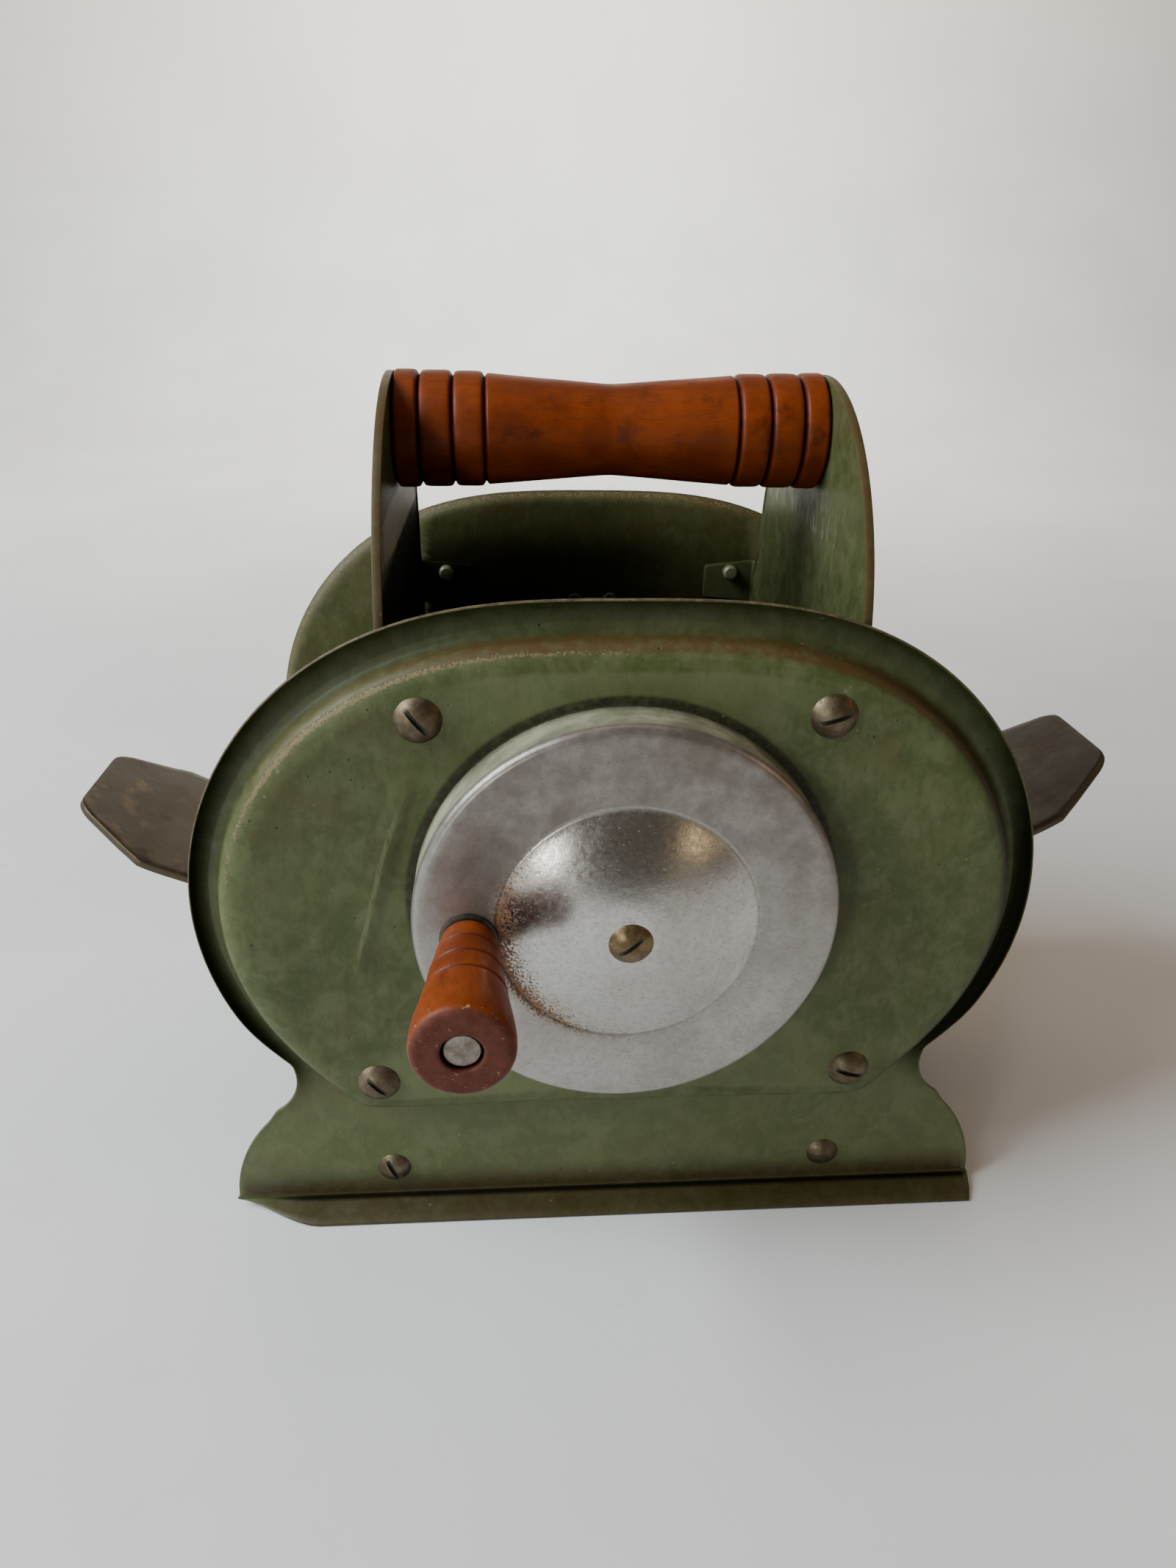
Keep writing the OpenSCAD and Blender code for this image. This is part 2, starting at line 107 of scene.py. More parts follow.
# Levers
LEVER_W = 54.0
TAB_W = 34.0
TAB_LEN = 20.9
TAB_BEND = 12.0
LEVER_LIFT = 15.0
LEVER_SHEET = 2.0
LIP_U = -23.0
LIP_V = 22.0
EYE_R = 7.0


# ---------------------------------------------------------------- outlines and numbers

def smooth_step(value, low, high):
    """0 below low, 1 above high and an even curve in between."""
    t = np.clip((np.asarray(value, float) - low) / (high - low), 0, 1)
    return t * t * (3 - 2 * t)


def bump_at(value, centre, width):
    """A bell that is 1 at the centre."""
    return np.exp(-((np.asarray(value, float) - centre) / width) ** 2)


def arc(centre, radius, start, end, count):
    """Points on a circle, with angles in degrees."""
    t = np.radians(np.linspace(start, end, count))
    return np.stack([centre[0] + radius * np.cos(t), centre[1] + radius * np.sin(t)], 1)


def harmonics(a, terms):
    """Sum of cosines of 0, 1, 2... times the angle a, in degrees."""
    a = np.radians(a)
    return sum(term * np.cos(k * a) for k, term in enumerate(terms))


def oval_r(a):
    """Radius of the stamped edge's oval, at an angle from straight up."""
    return harmonics(a, (88.9, 3.7, -7.0, -4.8, 1.1, -1.0))


def panel_r(a):
    """Radius of the raised panel: an oval blended into the flat lower edge."""
    side = harmonics(a, (84.1, -1.7, -4.1, -6.5, 2.1, -1.0))
    low = np.minimum(np.cos(np.radians(a)), -1e-3)
    floor = np.minimum((PANEL_FLOOR_Z - OVAL_Z) / low, 400)
    soft = -CORNER_SOFT * np.logaddexp(-side / CORNER_SOFT, -floor / CORNER_SOFT)
    return np.where(np.abs(a) < 92, side, soft)


def polar(a, r):
    """Points (x, z) at an angle from straight up and a radius about the ovals' centre."""
    a = np.radians(a)
    return np.stack([r * np.sin(a), OVAL_Z + r * np.cos(a)], 1)


def resample(loop, count, soften=0):
    """Closed loop with evenly spaced points, its corners softened by that many millimetres."""
    def even(points, n):
        closed = np.vstack([points, points[:1]])
        run = np.concatenate([[0], np.cumsum(np.linalg.norm(np.diff(closed, axis=0), axis=1))])
        at = np.linspace(0, run[-1], n, endpoint=False)
        return np.stack([np.interp(at, run, closed[:, k]) for k in (0, 1)], 1), run[-1]

    dense, length = even(np.asarray(loop, float), 6000)
    if soften:
        reach = max(1, round(soften / length * 6000))
        dense = sum(np.roll(dense, k, axis=0) for k in range(-reach, reach + 1)) / (2 * reach + 1)
    return even(dense, count)[0]


def loop_normals(loop):
    """Unit normals that point out of a closed loop drawn clockwise."""
    along = np.roll(loop, -1, axis=0) - np.roll(loop, 1, axis=0)
    out = np.stack([-along[:, 1], along[:, 0]], 1)
    return out / np.linalg.norm(out, axis=1)[:, None]


def catmull(rows, steps):
    """Rows refined by a curve through all of them."""
    rows = np.asarray(rows, float)
    ends = np.vstack([rows[:1], rows, rows[-1:]])
    out = []
    for i in range(len(rows) - 1):
        a, b, c, d = ends[i:i + 4]
        for t in np.arange(steps) / steps:
            out.append(0.5 * (2 * b + (c - a) * t + (2 * a - 5 * b + 4 * c - d) * t ** 2
                              + (3 * b - a - 3 * c + d) * t ** 3))
    return np.vstack([out, rows[-1:]])


def ripple(points, size, seed):
    """Smooth noise from -1 to 1 at the points, with lumps of about that size."""
    shift = Vector((seed, seed * 0.7, seed * 1.3))
    return np.array([noise.noise(Vector(p) / size + shift) for p in points])


# ---------------------------------------------------------------- meshes

def grid_faces(rows, columns, closed=True):
    """Quads between the rows of a grid, whose columns close on themselves if closed."""
    i = np.arange(rows - 1)[:, None]
    j = np.arange(columns if closed else columns - 1)[None, :]
    k = (j + 1) % columns
    quads = np.stack([i * columns + j, i * columns + k,
                      (i + 1) * columns + k, (i + 1) * columns + j], -1)
    return quads.reshape(-1, 4).tolist()


class Shape:
    """Vertices, faces and per-vertex masks of one piece, gathered part by part."""

    def __init__(self):
        self.points = []
        self.faces = []
        self.masks = {}
        self.count = 0

    def add(self, points, faces, **masks):
        points = np.asarray(points, float).reshape(-1, 3)
        self.faces += [[v + self.count for v in face] for face in faces]
        for name in set(self.masks) | set(masks):
            values = self.masks.setdefault(name, [np.zeros(self.count)])
            values.append(np.broadcast_to(masks.get(name, 0.0), len(points)).astype(float))
        self.points.append(points)
        self.count += len(points)
        return self

    def take(self, other, points, **masks):
        """Adds another shape with its points moved and some of its masks replaced."""
        kept = {name: np.concatenate(values) for name, values in other.masks.items()}
        return self.add(points, other.faces, **{**kept, **masks})

    def build(self, name, material, body, node, slot, sharp=35, merge=0):
        """Makes the object in the row frame, on its body and in place of its CAD node."""
        points = (np.vstack(self.points) + HOUSING_ORIGIN) * MM
        mesh = bpy.data.meshes.new(name)
        mesh.from_pydata(points.tolist(), [], self.faces)
        for key, values in self.masks.items():
            layer = mesh.attributes.new(key, "FLOAT", "POINT")
            layer.data.foreach_set("value", np.concatenate(values).astype(np.float32))
        tidy = bmesh.new()
        tidy.from_mesh(mesh)
        if merge:
            bmesh.ops.remove_doubles(tidy, verts=tidy.verts, dist=merge * MM)
        bmesh.ops.recalc_face_normals(tidy, faces=tidy.faces)
        tidy.to_mesh(mesh)
        tidy.free()
        mesh.polygons.foreach_set("use_smooth", [True] * len(mesh.polygons))
        mesh.set_sharp_from_angle(angle=math.radians(sharp))
        piece = bpy.data.objects.new(name, mesh)
        bpy.context.scene.collection.objects.link(piece)
        mesh.materials.append(material)
        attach(piece, body)
        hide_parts(node)


def revolve(profile, segments, place):
    """Closed [radius, distance] profile turned about a line; place maps (a, b, d) to points."""
    t = np.linspace(0, 2 * math.pi, segments, endpoint=False)
    profile = np.vstack([profile, profile[:1]])
    radius = profile[:, 0][:, None]
    distance = np.broadcast_to(profile[:, 1][:, None], (len(profile), segments))
    a = radius * np.cos(t)
    b = radius * np.sin(t)
    return place(a.ravel(), b.ravel(), distance.ravel()), grid_faces(len(profile), segments)


def facing_front(x=0.0, z=0.0):
    """Place for turned pieces whose distance runs from the front panel to the viewer."""
    return lambda a, b, d: np.stack([x + a, -d, z + b], 1)


def rounded_section(across, edge):
    """Loop round a sheet's section: [share of width, offset, share of thickness, offset]."""
    top = [[w, -edge * w * (abs(w) == 1), 1, 0] for w in np.linspace(-1, 1, across)]
    side = [[1, -edge * 0.3, 1, -edge * 0.3], [1, 0, 1, -edge], [1, 0, -1, edge],
            [1, -edge * 0.3, -1, edge * 0.3]]
    half = np.array(top + side, float)
    return np.vstack([half, -half])


def strip(path, edges_at, thickness, place, across=13, edge=0.3):
    """Bent sheet: a section swept along a path of (u, v) points.

    edges_at gives the two edges at a distance along a path of some length, and place maps
    (u, v, w) to housing coordinates. Also returns each point's distance along the path."""
    path = np.asarray(path, float)
    run = np.concatenate([[0], np.cumsum(np.linalg.norm(np.diff(path, axis=0), axis=1))])
    inset = np.array([0, 0.12, 0.45])
    at = np.unique(np.concatenate([inset, run, run[-1] - inset]))
    line = np.stack([np.interp(at, run, path[:, k]) for k in (0, 1)], 1)
    along = np.gradient(line, axis=0)
    along /= np.linalg.norm(along, axis=1)[:, None]
    normal = np.stack([-along[:, 1], along[:, 0]], 1)
    section = rounded_section(across, edge)
    points = []
    for k, s in enumerate(at):
        low, high = edges_at(s, run[-1])
        from_end = min(s, run[-1] - s)
        half = thickness / 2 - edge * (1 - math.sqrt(min(1, from_end / 0.45)))
        w = (low + high) / 2 + section[:, 0] * (high - low) / 2 + section[:, 1]
        t = section[:, 2] * half + section[:, 3]
        uv = line[k] + t[:, None] * normal[k]
        points.append(np.column_stack([uv, w]))
    count = len(section)
    faces = grid_faces(len(at), count)
    faces.append(list(range(count)))
    faces.append([(len(at) - 1) * count + i for i in range(count)][::-1])
    points = np.vstack(points)
    runs = np.repeat(at, count)
    return place(points[:, 0], points[:, 1], points[:, 2]), faces, runs


def flat_sheet(loop, low, high, place, insets, edge, hem=0.0):
    """Closed flat sheet between two levels, with rounded edges and inset rings.

    A hem thickens the rim by that much on each side. Also returns the inset of each point."""
    out = loop_normals(loop)
    levels = [(inset, low - hem * (inset < HEM_WIDTH)) for inset in insets[::-1]]
    levels += [(0.08, low - hem + edge * 0.3), (0.0, low - hem + edge),
               (0.0, high + hem - edge), (0.08, high + hem - edge * 0.3)]
    levels += [(inset, high + hem * (inset < HEM_WIDTH)) for inset in insets]
    points = []
    depth = []
    for inset, level in levels:
        ring = loop - out * inset
        points.append(np.column_stack([ring, np.full(len(ring), level)]))
        depth.append(np.full(len(ring), inset))
    count = len(loop)
    faces = grid_faces(len(levels), count)
    faces.append(list(range(count)))
    faces.append([(len(levels) - 1) * count + i for i in range(count)][::-1])
    points = np.vstack(points)
    return place(points[:, 0], points[:, 1], points[:, 2]), faces, np.concatenate(depth)


# ---------------------------------------------------------------- materials

def tone(red, green, blue):
    """Linear colour of an 8-bit one."""
    def linear(value):
        value /= 255
        return value / 12.92 if value <= 0.04045 else ((value + 0.055) / 1.055) ** 2.4
    return (linear(red), linear(green), linear(blue), 1.0)


class Paint:
    """One node material; textures are placed by object coordinates, in millimetres."""

    def __init__(self, name, **settings):
        self.material = bpy.data.materials.new(name)
        self.material.use_nodes = True
        self.tree = self.material.node_tree
        self.tree.nodes.clear()
        self.shader = self.tree.nodes.new("ShaderNodeBsdfPrincipled")
        output = self.tree.nodes.new("ShaderNodeOutputMaterial")
        self.tree.links.new(self.shader.outputs["BSDF"], output.inputs["Surface"])
        self.object = self.tree.nodes.new("ShaderNodeTexCoord").outputs["Object"]
        self.colour = None
        for key, value in settings.items():
            self.shader.inputs[key.replace("_", " ")].default_value = value

    def put(self, socket, value):
        if isinstance(value, bpy.types.NodeSocket):
            self.tree.links.new(value, socket)
        else:
            socket.default_value = value

    def node(self, kind, inputs=(), output=0, **settings):
        made = self.tree.nodes.new("ShaderNode" + kind)
        for key, value in settings.items():
            setattr(made, key, value)
        for key, value in dict(inputs).items():
            self.put(made.inputs[key], value)
        return made.outputs[output]

    def math(self, operation, a, b=0.0, clamp=False):
        return self.node("Math", {0: a, 1: b}, operation=operation, use_clamp=clamp)

    def times(self, a, b):
        return self.math("MULTIPLY", a, b)

    def sum(self, a, b):
        return self.math("ADD", a, b)

    def minus(self, a, b):
        return self.math("SUBTRACT", a, b)

    def plus(self, a, b):
        """Sum that is kept between 0 and 1."""
        return self.math("ADD", a, b, clamp=True)

    def place(self, size, seed, stretch=(1, 1, 1)):
        """Object coordinates scaled to lumps of that size and shifted by the seed."""
        scale = [1000 / size / s for s in stretch]
        return self.node("VectorMath", {0: self.object, 1: scale,
                                        2: (seed, seed * 1.7, seed * 2.3)},
                         operation="MULTIPLY_ADD")

    def noise(self, size, detail=3.0, rough=0.55, stretch=(1, 1, 1), seed=0.0, warp=0.0):
        return self.node("TexNoise", {"Vector": self.place(size, seed, stretch),
                                      "Scale": 1.0, "Detail": detail, "Roughness": rough,
                                      "Distortion": warp})

    def ramp(self, value, low, high, bottom=0.0, top=1.0):
        return self.node("MapRange", {"Value": value, "From Min": low, "From Max": high,
                                      "To Min": bottom, "To Max": top},
                         interpolation_type="SMOOTHSTEP", clamp=True)

    def specks(self, size, share, seed):
        """Scattered small spots that cover about that share, some large and some small."""
        near = self.node("TexVoronoi", {"Vector": self.place(size, seed), "Scale": 1.0},
                         feature="F1")
        patchy = self.noise(size * 3, 2, seed=seed + 3)
        size = self.times(self.ramp(patchy, 0.35, 0.75), share * 8)
        return self.ramp(self.minus(near, size), -0.05, 0.03, 1.0, 0.0)

    def band(self, value, low, rise, fall, high):
        """1 between rise and fall, 0 below low and above high."""
        return self.times(self.ramp(value, low, rise), self.ramp(value, fall, high, 1.0, 0.0))

    def mix(self, factor, first, second):
        made = self.tree.nodes.new("ShaderNodeMix")
        made.data_type = "RGBA"
        self.put(made.inputs[0], factor)
        self.put(made.inputs[6], first)
        self.put(made.inputs[7], second)
        return made.outputs[2]

    def base(self, factor, first, second):
        """Starts the paint as a blend of two colours."""
        self.colour = self.mix(factor, tone(*first), tone(*second))

    def over(self, factor, *colour):
        """Lays a colour, given as red, green, blue, over the paint so far."""
        self.colour = self.mix(factor, self.colour, tone(*colour))

    def over_blend(self, factor, between, first, second):
        """Lays a blend of two colours over the paint so far."""
        self.colour = self.mix(factor, self.colour,
                               self.mix(between, tone(*first), tone(*second)))

    def mask(self, name):
        """A value stored on the mesh's points."""
        return self.node("Attribute", output=2, attribute_name=name)

    def axis(self, index):
        """One object coordinate, in millimetres."""
        split = self.tree.nodes.new("ShaderNodeSeparateXYZ")
        self.put(split.inputs[0], self.object)
        return self.times(split.outputs[index], 1000.0)

    def relief(self, *layers):
        """Bump from (height, depth in millimetres) layers."""
        normal = None
        for height, depth in layers:
            inputs = {"Height": height, "Strength": 1.0, "Distance": depth * MM}
            if normal is not None:
                inputs["Normal"] = normal
            normal = self.node("Bump", inputs)
        self.put(self.shader.inputs["Normal"], normal)

    def finish(self, roughness, metallic=0.0):
        self.put(self.shader.inputs["Base Color"], self.colour)
        self.put(self.shader.inputs["Roughness"], roughness)
        self.put(self.shader.inputs["Metallic"], metallic)
        return self.material


def green_enamel():
    """Old enamel: mottled olive, worn to cream and brown where hands and cloths rub, with painted
    shade and painted light laid over it.
    """
    p = Paint("green_enamel")
    across, depth, height = p.axis(0), p.axis(1), p.axis(2)
    above = p.minus(height, HOUSING_ORIGIN[2])
    panel_face = p.ramp(depth, -41.2, -40.9, 1.0, 0.0)
    mottle = p.noise(4.5, 5, 0.68, seed=7, warp=0.4)
    streak = p.noise(1.6, 3, 0.6, stretch=(1, 1, 3), seed=11)
    rub = p.noise(2.2, 5, 0.7, seed=51)
    chips = p.times(p.minus(p.noise(0.7, 4, 0.75, seed=61), 0.5), 1.4)

    p.base(p.ramp(p.noise(26, 3, seed=2), 0.36, 0.64), (61, 72, 34), (74, 81, 44))
    p.over(p.ramp(p.noise(7, 5, 0.66, seed=21, warp=0.5), 0.44, 0.62, 0.0, 0.7), 84, 92, 60)
    p.over(p.ramp(p.noise(10, 5, 0.62, seed=27, warp=0.5), 0.5, 0.64, 0.0, 0.6), 55, 68, 22)
    p.over(p.ramp(mottle, 0.42, 0.66, 0.0, 0.5), 88, 95, 60)
    p.over(p.ramp(streak, 0.45, 0.75, 0.0, 0.4), 46, 57, 22)
    p.over(p.ramp(p.noise(17, 4, 0.6, seed=31), 0.54, 0.68, 0.0, 0.4), 70, 61, 28)
    # Painted light: paler top and bottom of the panel and a paler foot, where more light falls
    p.over(p.times(p.mask("pale"), 0.5), 101, 107, 73)

    dirt = p.ramp(p.noise(3.2, 5, 0.7, seed=41), 0.2, 0.62, 0.55, 1.0)
    p.over(p.times(p.mask("grime"), dirt), 30, 25, 12)
    p.over(p.times(p.mask("rust"), p.ramp(rub, 0.3, 0.6, 0.45, 1.0)), 70, 51, 24)
    wear = p.ramp(p.sum(p.mask("wear"), chips), 0.4, 0.62)
    p.over(p.times(wear, 0.85), 112, 100, 68)
    raw = p.ramp(p.sum(p.mask("raw"), chips), 0.35, 0.6)
    p.over_blend(raw, p.ramp(rub, 0.35, 0.65), (58, 46, 30), (96, 84, 60))

    # Painted shade, with some grease, on the lower part of the cheeks' inner sides, and a light
    # band under the grip
    soot = p.times(p.mask("soot"), p.ramp(height, 158, 167, 1.0, 0.0))
    soot = p.times(soot, p.ramp(depth, -45, 35, 0.3, 1.0))
    p.over(soot, 13, 12, 5)
    # Light band under the grip: partly rubbed paint, partly a painted highlight
    rubbed_and_lit = p.times(p.mask("bare"), p.band(height, 161, 167, 173, 178))
    rubbed_and_lit = p.times(rubbed_and_lit, p.ramp(depth, -38, 10, 0.35, 1.0))
    grain = p.minus(p.noise(1.4, 4, 0.7, stretch=(1, 1, 5), seed=67), 0.5)
    p.over(p.ramp(p.sum(rubbed_and_lit, grain), 0.4, 0.7, 0.0, 0.85), 146, 144, 134)

    # Painted shade in the gap round the wheel, broken up by noise, and a long scratch on the
    # panel's left
    reach = p.math("SQRT", p.sum(p.times(across, across), p.times(above, above)))
    gap_shade = p.ramp(p.math("ABSOLUTE", p.minus(reach, WHEEL_R + 0.9)), 0.5, 1.6, 0.9, 0.0)
    gap_shade = p.times(p.times(gap_shade, panel_face), p.ramp(rub, 0.3, 0.6, 0.6, 1.0))
    p.over(gap_shade, 31, 23, 12)
    wobble = p.times(p.minus(p.noise(14, 2, seed=95), 0.5), 2.0)
    lean = p.minus(p.sum(across, wobble), p.times(above, CREASE_LEAN))
    scratch = p.ramp(p.math("ABSOLUTE", p.sum(lean, 56.0)), 0.3, 0.8, 0.35, 0.0)
    scratch = p.times(p.times(scratch, panel_face), p.ramp(streak, 0.35, 0.6))
    p.over(p.times(scratch, p.band(above, -26, -10, 20, 34)), 126, 132, 98)

    pits = p.specks(3.4, 0.014, seed=71)
    p.over(p.times(pits, 0.7), 30, 28, 14)
    p.over(p.times(p.specks(5.0, 0.012, seed=83), 0.5), 116, 122, 92)
    p.over(p.mask("shade"), 13, 13, 5)
    dull = p.plus(p.mask("shade"), soot)
    p.put(p.shader.inputs["Specular IOR Level"], p.ramp(dull, 0.0, 0.8, 0.34, 0.03))
    p.relief((p.noise(0.8, 3, seed=91), 0.03), (mottle, 0.05), (pits, -0.1), (wear, -0.05))
    return p.finish(p.ramp(mottle, 0.3, 0.7, 0.46, 0.6))


def bright_plate():
    """Dull nickel: clouded, finely pitted and flecked with rust near its creases."""
    p = Paint("plated_steel")
    cloud = p.noise(16, 4, 0.6, seed=3)
    fine = p.noise(1.2, 5, 0.72, seed=5, warp=0.3)
    grain = p.noise(0.5, 4, 0.75, stretch=(2.5, 1, 1), seed=6)
    specks = p.specks(1.3, 0.016, seed=17)
    p.base(p.ramp(cloud, 0.35, 0.65), (178, 176, 170), (191, 190, 186))
    p.over(p.ramp(fine, 0.42, 0.7, 0.0, 0.3), 128, 122, 114)
    veil = p.ramp(p.noise(7, 4, 0.65, seed=13), 0.25, 0.7, 0.65, 1.0)
    p.over(p.times(p.mask("dull"), veil), 112, 106, 99)
    p.over(p.ramp(grain, 0.5, 0.75, 0.0, 0.35), 96, 88, 80)
    p.over(p.times(specks, 0.5), 70, 62, 50)
    # Rim wall: duller, with a green-grey tone that is a painted reflection of the green panel
    p.over_blend(p.mask("rim"), p.ramp(cloud, 0.4, 0.6), (104, 106, 84), (142, 142, 120))
    stain = p.ramp(p.noise(3, 4, 0.65, seed=19), 0.3, 0.7, 0.15, 0.5)
    p.over(p.times(p.mask("rust"), stain), 120, 106, 76)
    dots = p.noise(0.55, 4, 0.72, seed=23)
    rust = p.ramp(p.sum(dots, p.times(p.mask("rust"), 0.22)), 0.68, 0.73)
    p.over_blend(rust, p.ramp(fine, 0.4, 0.6), (82, 56, 34), (134, 88, 50))
    dark = p.times(p.mask("grime"), p.ramp(fine, 0.3, 0.55, 0.6, 1.0))
    p.over(dark, 34, 27, 16)
    dirty = p.plus(rust, dark)
    rough = p.minus(p.ramp(fine, 0.3, 0.7, 0.3, 0.4), p.times(p.mask("polish"), 0.11))
    rough = p.plus(rough, p.times(dirty, 0.4))
    rough = p.plus(rough, p.times(p.mask("rim"), 0.2))
    cover = p.plus(p.times(dirty, 0.85), p.times(p.mask("rim"), 0.65))
    cover = p.plus(cover, p.times(p.mask("dull"), 0.35))
    p.relief((fine, 0.035), (grain, 0.012), (specks, -0.05), (rust, 0.03),
             (p.noise(5, 3, seed=29), 0.05))
    return p.finish(rough, p.minus(1.0, cover))


def old_steel(name, light, dark, roughness=0.45, metallic=0.85, tarnish=0.5):
    """Browned steel of the screws, rods and drum, with dirt in slots and stray paint."""
    p = Paint(name)
    cloud = p.noise(3.5, 5, 0.65, seed=4)
    fine = p.noise(0.6, 4, 0.7, seed=9)
    p.base(p.ramp(cloud, 0.35, 0.65), dark, light)
    p.over(p.times(p.ramp(fine, 0.5, 0.7), tarnish), 92, 64, 42)
    p.over(p.mask("slot"), 30, 22, 14)
    p.over_blend(p.mask("paint"), p.ramp(cloud, 0.4, 0.6), (78, 86, 56), (96, 104, 74))
    cover = p.plus(p.mask("paint"), p.mask("slot"))
    p.relief((fine, 0.02), (cloud, 0.04))
    return p.finish(p.ramp(fine, 0.3, 0.7, roughness - 0.08, roughness + 0.12),
                    p.times(p.minus(1.0, cover), metallic))


def turned_wood(name, axis, light, deep, dark):
    """Varnished turned wood whose grain runs along the given axis."""
    p = Paint(name, Specular_IOR_Level=0.22)
    stretch = [1, 1, 1]
    stretch[axis] = 9
    grain = p.noise(1.5, 5, 0.65, stretch=stretch, seed=8, warp=0.5)
    pores = p.noise(0.5, 3, 0.6, stretch=stretch, seed=12)
    p.base(p.ramp(p.noise(13, 3, 0.6, seed=6), 0.35, 0.65), deep, light)
    p.over(p.ramp(grain, 0.45, 0.72, 0.0, 0.55), *deep)
    p.over(p.ramp(pores, 0.56, 0.72, 0.0, 0.45), *dark)
    p.over(p.ramp(p.noise(9, 4, 0.6, seed=21), 0.56, 0.7, 0.0, 0.6), *dark)
    groove = p.ramp(p.noise(2.0, 3, seed=25), 0.2, 0.6, 0.6, 1.0)
    p.over(p.times(p.mask("groove"), groove), 44, 10, 4)
    scuff = p.noise(2.4, 5, 0.7, seed=33)
    p.over_blend(p.mask("end"), p.ramp(scuff, 0.35, 0.65), (74, 34, 22), (86, 46, 34))
    chips = p.times(p.ramp(p.noise(1.3, 4, 0.75, seed=37), 0.62, 0.68), p.mask("wear"))
    p.over(chips, 150, 108, 72)
    p.relief((grain, 0.03), (pores, 0.03), (p.noise(6, 3, seed=27), 0.12), (chips, -0.05))
    return p.finish(p.plus(p.ramp(grain, 0.3, 0.7, 0.42, 0.56), p.times(p.mask("end"), 0.12)))


def spring_steel():
    """Dark spring steel with oil stains and a satin sheen."""
    p = Paint("spring_steel")
    cloud = p.noise(14, 3, 0.55, seed=14)
    p.base(p.ramp(cloud, 0.35, 0.68), (53, 47, 36), (75, 66, 50))
    p.over(p.ramp(p.noise(8, 4, 0.6, seed=43), 0.56, 0.66, 0.0, 0.6), 99, 85, 56)
    p.over(p.ramp(p.noise(11, 3, seed=47), 0.55, 0.7, 0.0, 0.6), 38, 30, 23)
    # Grime mask: dirt, and painted shade on the right tongue
    soot = p.ramp(p.noise(12, 3, seed=53), 0.35, 0.6, 0.5, 1.0)
    p.over(p.times(p.mask("grime"), soot), 34, 28, 22)
    p.over(p.mask("raw"), 79, 72, 56)
    p.relief((p.noise(0.9, 4, 0.6, seed=15), 0.012), (p.noise(9, 3, seed=49), 0.15))
    return p.finish(p.ramp(cloud, 0.3, 0.7, 0.34, 0.5), 0.8)


def plain_floor():
    """Pale matt table top with faint smudges, with painted shade towards the near end of the room
    and painted warm light higher up the wall.
    """
    p = Paint("pale_floor", Specular_IOR_Level=0.25)
    p.base(p.ramp(p.noise(160, 4, 0.55, seed=1), 0.35, 0.65), (214, 215, 215), (220, 221, 221))
    p.over(p.ramp(p.noise(12, 4, 0.7, seed=19), 0.6, 0.75, 0.0, 0.25), 202, 199, 194)
    # Painted shade towards the near end, and painted warm light up the wall
    p.over(p.ramp(p.axis(1), -420, -1100, 0.0, 0.85), 104, 100, 94)
    p.over(p.ramp(p.axis(2), 200, 1000), 223, 214, 199)
    return p.finish(0.7)


GREEN = green_enamel()
NICKEL = bright_plate()
STEEL = old_steel("screw_steel", (106, 97, 78), (80, 71, 54))
BRASS = old_steel("old_brass", (122, 106, 78), (92, 78, 54), 0.38, 0.9, 0.3)
DARK = old_steel("dark_steel", (84, 78, 70), (58, 52, 46), 0.5, 0.8, 0.4)
DRUM = old_steel("drum_steel", (150, 144, 134), (110, 102, 92), 0.36, 0.95, 0.35)
SPRING = spring_steel()
KNOB_WOOD = turned_wood("knob_wood", 1, (122, 56, 14), (101, 40, 8), (56, 20, 4))
GRIP_WOOD = turned_wood("grip_wood", 0, (117, 49, 4), (95, 36, 2), (52, 16, 2))


# ---------------------------------------------------------------- stamped plates

SHOULDER = ((5.5, 0.0), (3.2, 0.3), (1.4, 1.2), (0.4, 2.8), (0.0, 4.8), (-1.0, CHANNEL - 0.5),
            (-2.6, CHANNEL))
INNER_SHOULDER = ((-2.4, CHANNEL + SHEET), (-0.2, CHANNEL + 0.6), (1.2, 5.6), (1.6, 3.4),
                  (2.4, 2.2), (3.6, 1.5), (5.7, SHEET))
EDGE_TURN = ((0.3, 0.0), (0.1, 0.07), (0.0, 0.3), (0.0, 0.6), (0.0, 0.9), (0.1, 1.13), (0.3, 1.2))
FLAT_RIM = ((4.0, 0.0), (1.5, 0.0), (-0.6, 0.0), (-2.6, 0.0))
# The flange at the foot's fold, as [distance behind the foot's outer face, z], from the outer
# face round its tip to the inner face
FLANGE = ((0.0, -91.6), (0.0, -92.2), (-0.15, -92.6), (-0.7, -92.95), (-2.0, -93.25),
          (-4.0, -93.65), (-6.0, -94.0), (-7.5, -94.3), (-7.95, -94.6), (-8.0, -95.2),
          (-7.7, -95.5), (-6.2, -95.5), (-5.0, -95.5), (-3.0, -95.1), (-0.8, -94.6),
          (0.6, -94.1), (1.15, -93.4), (1.2, -92.4), (1.2, -91.6))


def plate_loop(count):
    """Stamped edge from the top clockwise."""
    a = np.linspace(0, OVAL_END, 300)
    right = np.vstack([polar(a, oval_r(a)), arc(*WAIST, 165, 241, 50), arc(*FOOT_ARC, 44, 0, 60),
                       [[FOOT_HALF, FOLD_Z], [0, FOLD_Z]]])
    loop = np.vstack([right, (right * (-1, 1))[-2:0:-1]])
    return resample(loop, count, soften=0.5)


def flange_share(x, z):
    """How much of the flange stands at a point of the edge; the left corner is bent away."""
    left = smooth_step(x, -100.2, -75)
    right = 1 - smooth_step(x, 96.2, 97.4)
    return np.where(z < FOLD_Z + 0.6, left * right, 0.0)


